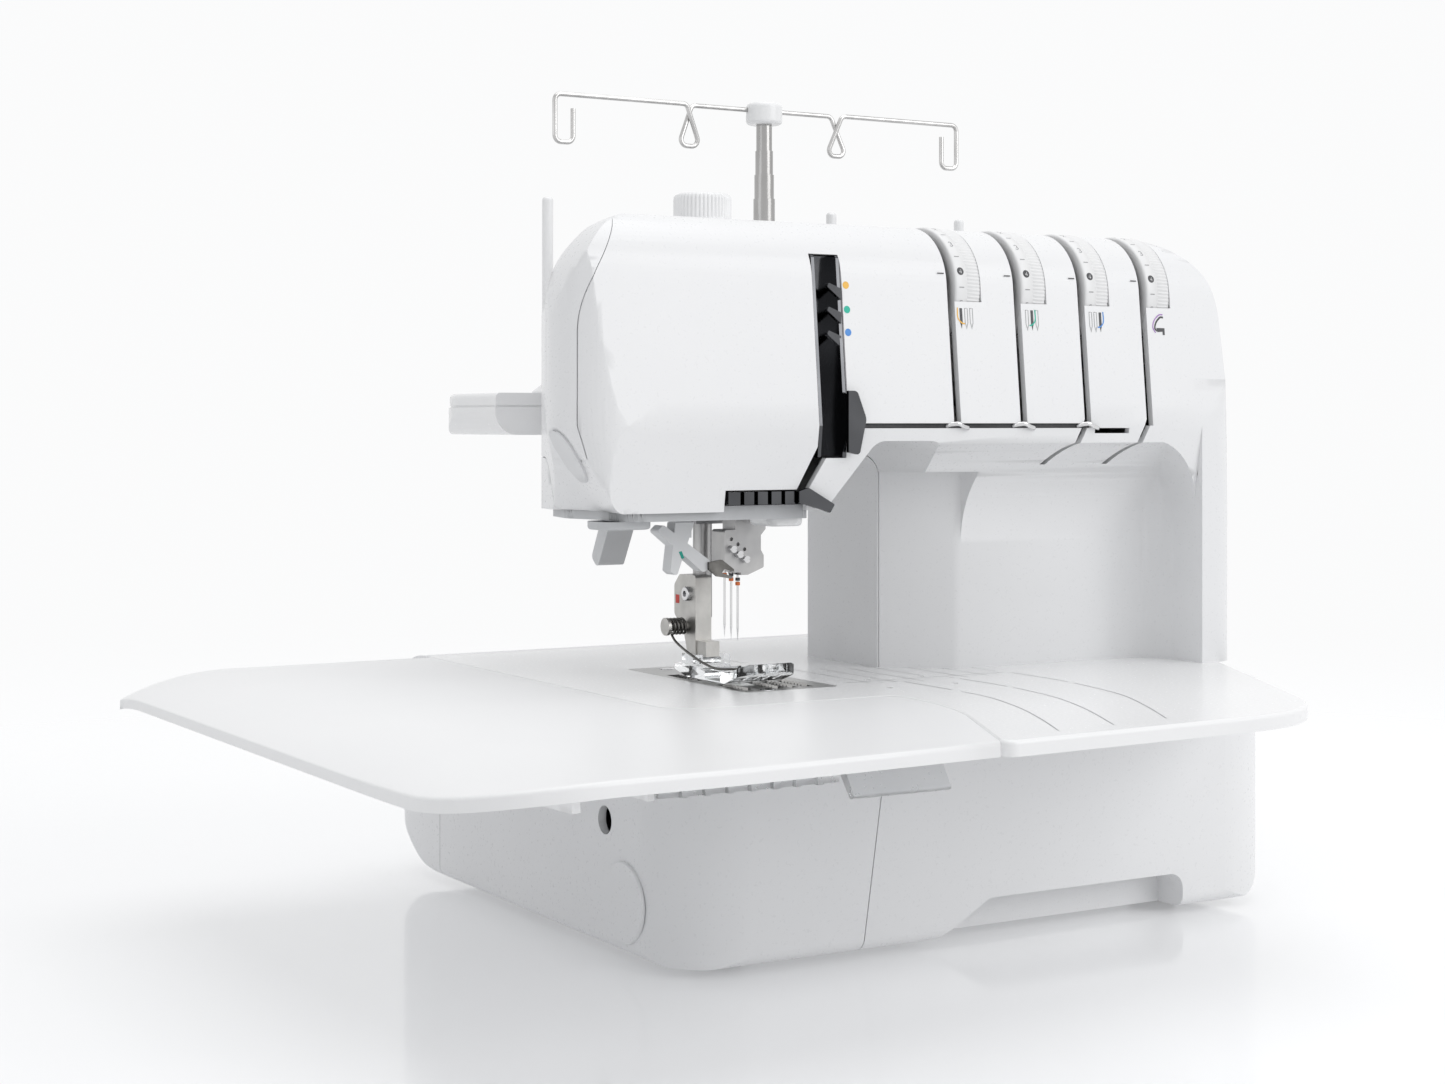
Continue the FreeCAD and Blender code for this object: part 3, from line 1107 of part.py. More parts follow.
def make_guides():
    """Dark take-up guide in its slot, with its teeth and fin, and the notched guide under the head."""
    gap = "seam_gap"
    front, back = "-arm_front + 0.5", "-arm_front + take_depth"
    left, right = f"take_left + {gap}", f"take_right - {gap}"
    low, high = f"take_low + {gap}", f"take_high - {gap}"
    lean = f"-arm_front + arm_lean * ({high} - arm_break) / (arm_top - arm_break) + 0.6"
    profile = prism("take_profile", "YZ", [
        (f"{front} + 1.2", low), (back, low), (back, high, "2"), (lean, high, "1.5"),
        (front, "arm_break"),
    ], left, right)
    middle = block("take_middle", (f"{left} + 1.3", f"{right} - 1.3"),
                   ("-arm_front - 5", f"{back} - 1.5"),
                   (f"{low} - 5", f"{high} + 5"))
    walls = cut("take_walls", profile, middle)
    teeth = []
    for number in range(3):
        z = f"{high} - 12 - {number} * 8.5"
        teeth.append(prism(f"take_tooth_{number + 1}", "XZ", [
            (f"{right} - 0.6", z), (f"{right} - 0.6", f"{z} - 4"),
            (f"{right} - 6.6", f"{z} + 0.6", "0.5"),
            (f"{right} - 6", f"{z} + 2", "0.5"),
        ], f"{back} - 9.5", f"{back} - 7.5"))
    fin = prism("take_fin", "XZ", [
        (f"{right} - 1.3", "take_low + 2"), ("take_right + 3", "take_low + 1", "1.5"),
        ("take_right + 6", "take_low + 14", "4"),
        ("take_right + 2", "take_low + 24", "2"), (f"{right} - 1.3", "take_low + 24"),
    ], "-arm_front - 2.4", "-arm_front - 1")
    root = block("take_root", (f"{right} - 1.3", right), ("-arm_front - 2.4", f"{front} + 4"),
                 ("take_low + 6", "take_low + 23"))
    publish(joined("take_done", walls, *teeth, fin, root), "take_up_guide")
    bar = block("guide_bar", ("-guide_left + 1", "guide_right - 1"),
                ("-arm_front + 3", "-arm_front + 12"),
                ("head_bottom + under_thick - under_show + 0.4", "guide_high - 0.6"))
    notches = [block(f"guide_cut_{number}",
                     (f"-guide_left + 1 + {number} * 5.6 - 0.8",
                      f"-guide_left + 1 + {number} * 5.6 + 0.8"),
                     ("-arm_front - 5", f"-arm_front + {reach}"), ("head_bottom - 5", "guide_high + 5"))
               for number, reach in ((1, "8"), (2, "7"), (3, "8"), (4, "7"), (5, "8"))]
    fin = prism("guide_fin", "XZ", [
        ("guide_right - 5", "guide_high - 4.6"), ("guide_right + 8", "guide_high - 8.5", "0.6"),
        ("guide_right + 10", "guide_high - 5.5", "0.6"), ("guide_right - 1", "guide_high + 0.6", "0.6"),
        ("guide_right - 5", "guide_high - 0.6"),
    ], "-arm_front + 1.2", "-arm_front + 2.6")
    tab = block("guide_tab", ("guide_right - 5", "guide_right - 1"),
                ("-arm_front + 1.2", "-arm_front + 4"),
                ("guide_high - 4.6", "guide_high - 0.6"))
    publish(joined("guide_whole", cut("guide_done", bar, *notches), fin, tab), "needle_thread_guide")


# Head: needle group, presser group, threader, lifter

def make_underside():
    """Grey plate under the head, with openings for the bars, the threader and the lifter."""
    low = "head_bottom - under_show"
    inset = "(shell_wall + 1.4)"
    left, front = f"(-head_left + head_taper + {inset})", f"(-arm_front + head_tuck + {inset})"
    back = f"(arm_back - {inset})"
    blank = prism("under_blank", "XY", [
        (left, front, "16"), (f"head_low_right - {inset}", front, "3"),
        (f"head_low_right - {inset}", back, "3"),
        (f"-head_point + ({back} + arm_front) * end_lean + {inset} * end_slope", back, "12"),
        (left, f"-arm_front + ({left} + head_point - {inset} * end_slope) / end_lean", "12"),
    ], low, f"{low} + under_thick")
    tall = "4 * under_thick"
    tools = [
        rod("under_needle", "bar_radius + 1", tall, "bar_side", "0", f"{low} - 10"),
        block("under_presser", ("-bush_left - seam_gap", "bush_right + seam_gap"),
              ("presser_back - bush_half - seam_gap", "presser_back + bush_half + seam_gap"),
              (f"{low} - 10", f"{low} + 20")),
        block("under_threader", ("-threader_place - stem_half - running_gap",
                                 "-threader_place + stem_half + running_gap"),
              ("-threader_front - stem_thick / 2 - running_gap",
               "-threader_front + stem_thick / 2 + running_gap"),
              (f"{low} - 10", f"{low} + 20")),
        block("under_lifter", ("-lifter_left - 1", "-lifter_right + 1"),
              ("lifter_back - 8", "arm_back + 20"),
              (f"{low} - 10", f"{low} + 20")),
    ]
    publish(cut("under_done", blank, *tools), "underside_plate")


def make_needles():
    """Needle bar with its link stud, stepped clamp, three set screws and three needles."""
    stud_high = "upper_height + crank_throw + link_long"
    bar = rod("bar_form", "bar_radius", f"{stud_high} + 6 - (clamp_high - 5)", "bar_side", "0",
              "clamp_high - 5")
    collar = rod("bar_collar", "bar_radius + 1.6", "12", "bar_side", "0", f"{stud_high} - 6")
    stud = rod("bar_stud", "2.5", "bar_radius + 6", "bar_side", "0", stud_high, "X")
    publish(joined("bar_done", bar, collar, stud), "needle_bar")
    half = "needle_pitch / 2"
    blank = prism("clamp_blank", "XZ", [
        ("-clamp_left", "clamp_low + 2 * needle_step"), (f"-{half}", "clamp_low + 2 * needle_step"),
        (f"-{half}", "clamp_low + needle_step"), (half, "clamp_low + needle_step"), (half, "clamp_low"),
        ("needle_pitch + 1.6", "clamp_low"), ("clamp_right", "clamp_low + 2.6", "0.8"),
        ("clamp_right", "clamp_low + 7"),
        ("clamp_right - 1.2", "clamp_low + 9"), ("clamp_right - 1.2", "clamp_high - neck_tall - 2.2"),
        ("neck_right", "clamp_high - neck_tall"), ("neck_right", "clamp_high"),
        ("-neck_left", "clamp_high"),
        ("-neck_left", "clamp_high - neck_tall"), ("-clamp_left", "clamp_high - neck_tall", "1"),
    ], "-clamp_half", "clamp_half")
    tools = [rod("clamp_bore", "bar_radius + running_gap", "20", "bar_side", "0", "clamp_high - 5")]
    screws, needles = [], []
    for number in (-1, 0, 1):
        x, z = f"{number} * needle_pitch", f"clamp_low + 7.7 - {number} * screw_drop"
        top = f"needle_tip + needle_long - {number} * needle_step"
        tools.append(rod(f"clamp_hole_{number + 2}", "needle_shank + running_gap",
                         f"{top} + 0.2 - (clamp_low - 5)", x, "0",
                         "clamp_low - 5"))
        tools.append(rod(f"clamp_tap_{number + 2}", "1.35", "clamp_half", x, "-clamp_half - 1.5", z, "Y"))
        tools.append(rod(f"clamp_eye_{number + 2}", "0.7", "2", f"{x} + 0.2", "-clamp_half - 0.5",
                         f"{z} + 3.6", "Y"))
        head = rod(f"set_screw_{number + 2}_form", "1.3", "clamp_half - 1.6 + 2.4", x,
                   "-clamp_half - 2.4", z, "Y")
        slot = block(f"set_screw_{number + 2}_slot", (f"{x} - 3", f"{x} + 3"),
                     ("-clamp_half - 5", "-clamp_half - 1.7"),
                     (f"{z} - 0.25", f"{z} + 0.25"))
        screws.append(cut(f"set_screw_{number + 2}", head, slot))
        needles.append(turned(f"needle_{number + 2}", [
            ("0", "0"), ("needle_blade", "5"), ("needle_blade", "needle_long - 13"),
            ("needle_shank", "needle_long - 11.5"),
            ("needle_shank", "needle_long"), ("0", "needle_long"),
        ], x, "0", f"needle_tip - {number} * needle_step"))
    publish(cut("clamp_done", blank, *tools), "needle_clamp")
    publish(grouped("set_screws", screws), "needle_screws")
    publish(grouped("needle_set", needles), "needles")


def make_presser():
    """Presser bar, ankle with its screw and spring, clear foot on its pin."""
    y = "presser_back"
    bar = rod("presser_form", "bar_radius", "dial_high - ankle_low", "0", y, "ankle_low")
    collar = rod("presser_collar", "bar_radius + 1.8", "3", "0", y, "collar_low")
    publish(joined("presser_done", bar, collar), "presser_bar")
    low, right = "foot_pin_high + 2", "-0.2"
    main = prism("ankle_main", "YZ", [
        (f"{y} - 7", low), (f"{y} - 1", low), (f"{y} + 2", f"{low} + 8"),
        (f"{y} + 9", f"{low} + 14", "2"),
        (f"{y} + 9", "ankle_high - 4", "2"), (f"{y} + 5", "ankle_high", "2"),
        (f"{y} - 7", "ankle_high", "1"),
    ], "-ankle_wide", right)
    nose = block("ankle_nose", ("-ankle_wide + 0.5", f"{right} - 0.5"),
                 ("foot_pin_back - 2.8", f"{y} - 4"),
                 ("foot_pin_high + 1.4", "foot_pin_high + 7"))
    stud = rod("ankle_stud", "coil_radius - coil_wire - 0.4", "coil_long + 1", "-ankle_wide - coil_long",
               y, "coil_high", "X")
    head = rod("ankle_stud_head", "coil_radius + 0.6", "1.2", "-ankle_wide - coil_long - 1.2", y,
               "coil_high", "X")
    bore = rod("ankle_bore", "bar_radius + running_gap", "40", "0", y, "ankle_low")
    groove = rod("ankle_groove", "foot_pin_radius + 0.3", "20", "-10", "foot_pin_back", "foot_pin_high",
                 "X")
    tap = rod("ankle_tap", "2.05", "5.4", "-ankle_wide - 2", f"{y} - 1.5", "ankle_high - 7", "X")
    whole = joined("ankle_whole", main, nose, stud, head)
    publish(cut("ankle_done", whole, bore, groove, tap), "foot_ankle")
    screw = turned("ankle_screw_form", [
        ("0", "0"), ("2.7", "0", "0.5"), ("2.7", "1.6"), ("2", "1.6"), ("2", "3.6"), ("0", "3.6"),
    ], "-ankle_wide - 1.6", f"{y} - 1.5", "ankle_high - 7", "X")
    socket = prism("ankle_screw_socket", "YZ", [
        (f"{y} - 1.5 + 1.3 * cos({turn} deg)",
         f"ankle_high - 7 + 1.3 * sin({turn} deg)") for turn in range(0, 360, 60)
    ], "-ankle_wide - 3", "-ankle_wide - 0.6")
    publish(cut("ankle_screw_done", screw, socket), "ankle_screw")
    low, top = "bed_height + sole_clear", "bed_height + sole_clear + sole_thick"
    plan = prism("sole_plan", "XY", [
        ("-sole_left", "-sole_front + 4", "3"), ("-sole_left + 5", "-sole_front", "3"),
        ("sole_right - 5", "-sole_front", "3"),
        ("sole_right", "-sole_front + 4", "3"), ("sole_right", "sole_back", "3"),
        ("-sole_left", "sole_back", "3"),
    ], f"{low} - 2", f"{top} + 8")
    profile = prism("sole_profile", "YZ", [
        ("sole_back", f"{low} + 2.6"), ("foot_pin_back + 4", low, "8"), ("-sole_front + 13", low, "8"),
        ("-sole_front - 1", f"{low} + 4.8"), ("-sole_front - 1", f"{top} + 3.8"),
        ("-sole_front + 1.4", f"{top} + 3.6", "1"),
        ("-sole_front + 9", top, "7"), ("sole_back", top),
    ], "-sole_left - 5", "sole_right + 5")
    tall = (f"{low} - 5", f"{top} + 9")
    uprights = [block(f"sole_upright_{number}", sides, ("foot_pin_back - 3", "foot_pin_back + 7"),
                      (f"{top} - 1", "foot_pin_high + 2.4"))
                for number, sides in enumerate((("-ankle_wide - 4", "-ankle_wide - 1"), ("1", "4")),
                                               start=1)]
    pin = rod("sole_pin", "foot_pin_radius", "ankle_wide + 3.4", "-ankle_wide - 1.7", "foot_pin_back",
              "foot_pin_high", "X")
    eye = block("sole_eye", ("-needle_pitch - 3.6", "needle_pitch + 3.6"), ("-7.5", "3.4"), tall)
    slots = [block(f"toe_slot_{number}", (f"{x} - 0.6", f"{x} + 0.6"),
                   ("-sole_front - 5", "-sole_front + 10"), tall)
             for number, x in enumerate(TOE_SLOTS, start=1)]
    whole = joined("foot_whole", cut("sole_done", shared("sole_form", plan, profile), eye, *slots),
                   *uprights, pin)
    publish(whole, "presser_foot")
    publish(coil("foot_spring_coil", "-ankle_wide - 0.9 - coil_turns * coil_pitch", y, "coil_high"),
            "foot_spring")


def coil(label, x, y, z):
    """Closed tube along a helix about X, drawn as smooth pairs of arcs, a pair to each quarter turn."""
    radius, pitch = value("coil_radius"), value("coil_pitch")
    quarters = int(round(value("coil_turns") * 4))
    points, ways = [], []
    for step in range(quarters + 1):
        angle = step * math.pi / 2
        points.append(FreeCAD.Vector(pitch * step / 4, radius * math.cos(angle),
                                     radius * math.sin(angle)))
        way = FreeCAD.Vector(pitch / (2 * math.pi), -radius * math.sin(angle), radius * math.cos(angle))
        ways.append(way.normalize())
    edges = []
    for start, end, out, back in zip(points, points[1:], ways, ways[1:]):
        span = end - start
        both = out + back
        spread = 2 * (1 - out.dot(back))
        reach = (-span.dot(both) + math.sqrt(span.dot(both) ** 2 + spread * span.dot(span))) / spread
        joint = (start + end) * 0.5 + (out - back) * (reach / 2)
        edges.append(arc_from(start, out, joint))
        edges.append(arc_from(joint, (joint - start - out * reach).normalize(), end))
    tube = swept(label, edges, value("coil_wire"))
    line = [edge.valueAt(edge.FirstParameter + (edge.LastParameter - edge.FirstParameter) * part / 6)
            for edge in edges for part in range(6)]
    apart = min(a.distanceToPoint(b) for i, a in enumerate(line) for b in line[i + 24:])
    print(f"{label}: least gap between turns {apart - 2 * value('coil_wire'):.2f} mm")
    return place(tube, x, y, z)


def arc_from(start, way, end):
    """Arc from a point along a direction to an end point."""
    chord = end - start
    along = FreeCAD.Vector(chord).normalize()
    aside = (way - along * way.dot(along)).normalize()
    middle = start + chord * 0.5 + aside * (chord.Length / 2 * math.tan(way.getAngle(along) / 2))
    return Part.Arc(start, middle, end).toShape()


def swept(label, edges, radius):
    """Round tube along a line of edges."""
    line = Part.Wire(edges)
    first = edges[0]
    way = first.tangentAt(first.FirstParameter)
    ring = Part.Wire([Part.Circle(first.valueAt(first.FirstParameter), way, radius).toShape()])
    tube = doc.addObject("Part::Feature", label)
    tube.Shape = line.makePipeShell([ring], True, False)
    return tube


def make_threader():
    """White cross-shaped threader lever on its stem, and the metal hooks at its end."""
    x, y = "-threader_place", "-threader_front"
    half = "threader_thick / 2"
    sides = (f"{y} - {half}", f"{y} + {half}")
    z = "head_bottom - 20"
    falling = prism("threader_falling", "XZ", [
        (f"{x} - 11", f"{z} + 12.5", "1"), (f"{x} - 8.4", f"{z} + 14.9", "1"),
        (f"{x} + 11.4", f"{z} + 1.1", "1.5"),
        (f"{x} + 8.4", f"{z} - 2.9", "1.5"),
    ], *sides)
    rising = prism("threader_rising", "XZ", [
        (f"{x} - 5.6", f"{z} - 1.7", "1"), (f"{x} - 3", f"{z} - 3.7", "1"), (f"{x} + 4.2", f"{z} + 15.5"),
        (f"{x} - 3.5", f"{z} + 15.5"),
    ], *sides)
    stem = block("threader_stem_form", (f"{x} - stem_half", f"{x} + stem_half"),
                 (f"{y} - stem_thick / 2", f"{y} + stem_thick / 2"), (f"{z} + 10", f"{z} + 43.5"))
    publish(joined("threader_done", falling, rising, stem), "threader_lever")
    hooks = prism("hook_form", "XZ", [
        (f"{x} + 9.6", f"{z} + 1.1"), (f"{x} + 15", f"{z} + 1.9", "0.8"),
        (f"{x} + 20", f"{z} - 1.7", "0.3"),
        (f"{x} + 20", f"{z} - 2.5"), (f"{x} + 16", f"{z} - 1.5"), (f"{x} + 15", f"{z} - 2.9"),
        (f"{x} + 19.4", f"{z} - 4.3"), (f"{x} + 19.2", f"{z} - 5.1", "0.3"),
        (f"{x} + 13", f"{z} - 4.1", "0.8"),
        (f"{x} + 9.6", f"{z} - 1.5"),
    ], f"{y} - 4.2", f"{y} - 3")
    publish(hooks, "threader_hooks")


def make_lifter():
    """White presser lifter behind the head, on a pin in the arm frame."""
    y, z = "lifter_back", "lifter_high"
    lever = prism("lifter_form", "YZ", [
        (f"{y} - 5", f"{z} + 5", "4"), (f"{y} + 5", f"{z} + 5", "4"), (f"{y} + 6", f"{z} - 8", "4"),
        (f"{y} + 11", f"{z} - 18", "6"),
        (f"{y} + 19", f"{z} - 33", "2"), (f"{y} + 14", f"{z} - 37", "2"), (f"{y} + 4", f"{z} - 20", "6"),
        (f"{y} - 5", f"{z} - 6", "4"),
    ], "-lifter_left", "-lifter_right")
    pin = rod("lifter_pin", "2.5", "6", "-lifter_right", y, z, "X")
    publish(joined("lifter_done", lever, pin), "presser_lifter")


def make_knob():
    """Foot-pressure knob on the arm's top, its stem through the cover."""
    knob = turned("knob_form", [
        ("0", "arm_top - 14"), ("knob_stem", "arm_top - 14"), ("knob_stem", "arm_top + 0.3"),
        ("knob_radius", "arm_top + 0.3"),
        ("knob_radius", "arm_top + knob_high - 1.2"), ("knob_radius - 1.2", "arm_top + knob_high"),
        ("0", "arm_top + knob_high"),
    ], "0", "presser_back", "0")
    publish(knob, "pressure_knob")


# Spools: tray, deck, pins, telescopic mast and guide wire

def tray_form(label, inset, low, high):
    """Tray's plan, moved in by the inset."""
    w = f"({inset})"
    return prism(label, "XY", [
        (f"-tray_left + {w}", f"arm_back + {w}"), (f"tray_right - {w}", f"arm_back + {w}"),
        (f"tray_right - {w}", f"tray_back - {w}", f"tray_corner - {w}"),
        (f"-tray_left + {w}", f"tray_back - {w}", f"tray_corner - {w}"),
    ], low, high)


def make_spools():
    """Spool tray behind the arm, with its deck, pins, mast tubes, cap and wire."""
    plan = tray_form("tray_plan", "0", "tray_low", "tray_high")
    face = prism("tray_face", "XZ", [
        ("-tray_left", "tray_low", "tray_turn"), ("tray_right", "tray_low", "tray_turn"),
        ("tray_right", "tray_high"), ("-tray_left", "tray_high"),
    ], "arm_back", "tray_back")
    side = prism("tray_side", "YZ", [
        ("arm_back", "tray_low"), ("tray_back", "tray_low", "tray_turn"), ("tray_back", "tray_high"),
        ("arm_back", "tray_high"),
    ], "-tray_left", "tray_right")
    inside = tray_form("tray_inside", "tray_wall", "tray_low + tray_turn * 0.6", "tray_high + 5")
    socket = rod("tray_boss", "mast_radius + 3", "tray_turn * 0.6", "mast_place", "pin_back",
                 "tray_low + 2")
    publish(cut("tray_done", joined("tray_whole", shared("tray_body", plan, face, side), socket), inside),
            "spool_tray")
    base = tray_form("deck_base", "deck_seam", "tray_high", "tray_high + deck_seam")
    top = tray_form("deck_top", "0.4", "tray_high + deck_seam", "tray_high + deck_seam + deck_thick")
    level = "tray_high + deck_seam + deck_thick"
    soft = rounded("deck_soft", top, "2",
                   lambda edge: mid(edge).z > value(level) - 0.1 and edge.BoundBox.ZLength < 0.01
                   and mid(edge).y > value("arm_back") + 1)
    seats, pins = [], []
    for number in range(4):
        x = f"-pin_first + {number} * pin_pitch"
        seats.append(rod(f"seat_{number + 1}", "seat_radius", "10", x, "pin_back", f"{level} - 1"))
        pins.append(turned(f"pin_{number + 1}", [
            ("0", f"{level} - 1"), ("pin_radius + 4", f"{level} - 1"),
            ("pin_radius + 4", f"{level} + 1", "1"),
            ("pin_radius", f"{level} + 4", "1.5"), ("pin_radius", "pin_top", "1.4"), ("0", "pin_top"),
        ], x, "pin_back", "0"))
    hole = rod("deck_mast_hole", "mast_radius + running_gap", "40", "mast_place", "pin_back",
               f"{level} - 20")
    publish(cut("deck_done", joined("deck_whole", base, soft), *seats, hole), "spool_deck")
    publish(grouped("pin_set", pins), "spool_pins")
    x, y = "mast_place", "pin_back"
    low_tube = turned("mast_low_form", [
        ("0", "tray_low + tray_turn * 0.6"), ("mast_radius", "tray_low + tray_turn * 0.6"),
        ("mast_radius", level),
        ("mast_radius + 2.4", level), ("mast_radius + 2.4", f"{level} + 4", "1"),
        ("mast_radius", f"{level} + 6"),
        ("mast_radius", "mast_low_top"), ("mast_radius - mast_wall", "mast_low_top"),
        ("mast_radius - mast_wall", f"{level} - 2"), ("0", f"{level} - 2"),
    ], x, y, "0")
    publish(low_tube, "mast_low")
    for number, node in ((1, "mast_middle"), (2, "mast_upper"), (3, "mast_top")):
        outer = f"mast_radius - {number} * (mast_wall + running_gap)"
        end = f"mast_low_top + {number} * mast_step"
        if number < 3:
            tube = turned(node + "_form", [
                (f"{outer} - mast_wall", f"{end} - tube_long"), (outer, f"{end} - tube_long"),
                (outer, end), (f"{outer} - mast_wall", end),
            ], x, y, "0")
        else:
            tube = rod(node + "_form", outer, "tube_long + cap_drop", x, y, f"{end} - tube_long")
        publish(tube, node)
    foot = "mast_low_top + 3 * mast_step + 1"
    cap = turned("mast_cap_form", [
        ("mast_radius - 3 * mast_wall - 2 * running_gap", foot), ("mast_cap_radius", foot, "1.5"),
        ("mast_cap_radius", f"{foot} + mast_cap_high", "2"), ("0", f"{foot} + mast_cap_high"),
        ("0", f"{foot} + cap_drop - 1 + running_gap"),
        ("mast_radius - 3 * mast_wall - 2 * running_gap", f"{foot} + cap_drop - 1 + running_gap"),
    ], x, y, "0")
    wire_z = f"{foot} + mast_cap_high - 3"
    bore = rod("mast_cap_bore", "wire_radius + running_gap", "40", "mast_place - 20", f"{y} + wire_side",
               wire_z, "X")
    publish(cut("mast_cap_done", cap, bore), "mast_cap")
    publish(place(guide_line("wire_form"), x, y, wire_z), "guide_wire")


def guide_line(label):
    """Guide wire: straight through the cap, with a drop-shaped loop and a hanging hook on each side."""
    s, r, loop, drop = value("wire_side"), value("wire_reach"), value("wire_loop"), value("wire_drop")
    hook, inner = value("wire_hook"), value("wire_reach - wire_hook_wide")
    half = [(loop - 2, s, 0), (loop + 5, 0, -drop), (loop - 5, 0, -drop), (loop + 2, -s, 0), (r, -s, 0),
            (r, -s, -hook), (inner, -s, -hook), (inner, -s, 4 - hook / 2)]
    path = [FreeCAD.Vector(-a, b, c) for a, b,
            c in reversed(half)] + [FreeCAD.Vector(*point) for point in half]
    bend = value("wire_bend")
    edges, at = [], path[0]
    for before, point, after in zip(path, path[1:], path[2:]):
        back, ahead = (before - point).normalize(), (after - point).normalize()
        angle = back.getAngle(ahead) / 2
        reach = bend / math.tan(angle)
        enter, leave = point + back * reach, point + ahead * reach
        middle = point + (back + ahead).normalize() * (bend / math.sin(angle) - bend)
        edges.append(Part.LineSegment(at, enter).toShape())
        edges.append(Part.Arc(enter, middle, leave).toShape())
        at = leave
    edges.append(Part.LineSegment(at, path[-1]).toShape())
    return swept(label, edges, value("wire_radius"))


# Drive: shafts, belts, motor, handwheel, crank and link, and the frames that carry them

def belt(label, node, first, second, low, high):
    """Closed belt round two wheels, each (y, z, radius)."""
    def draw(sketch):
        draw_loop(sketch, *[(y, z, f"{r} + belt_gap + belt_thick") for y, z, r in (first, second)])
        draw_loop(sketch, *[(y, z, f"{r} + belt_gap") for y, z, r in (first, second)])
    publish(padded(label, "YZ", low, high, draw), node)


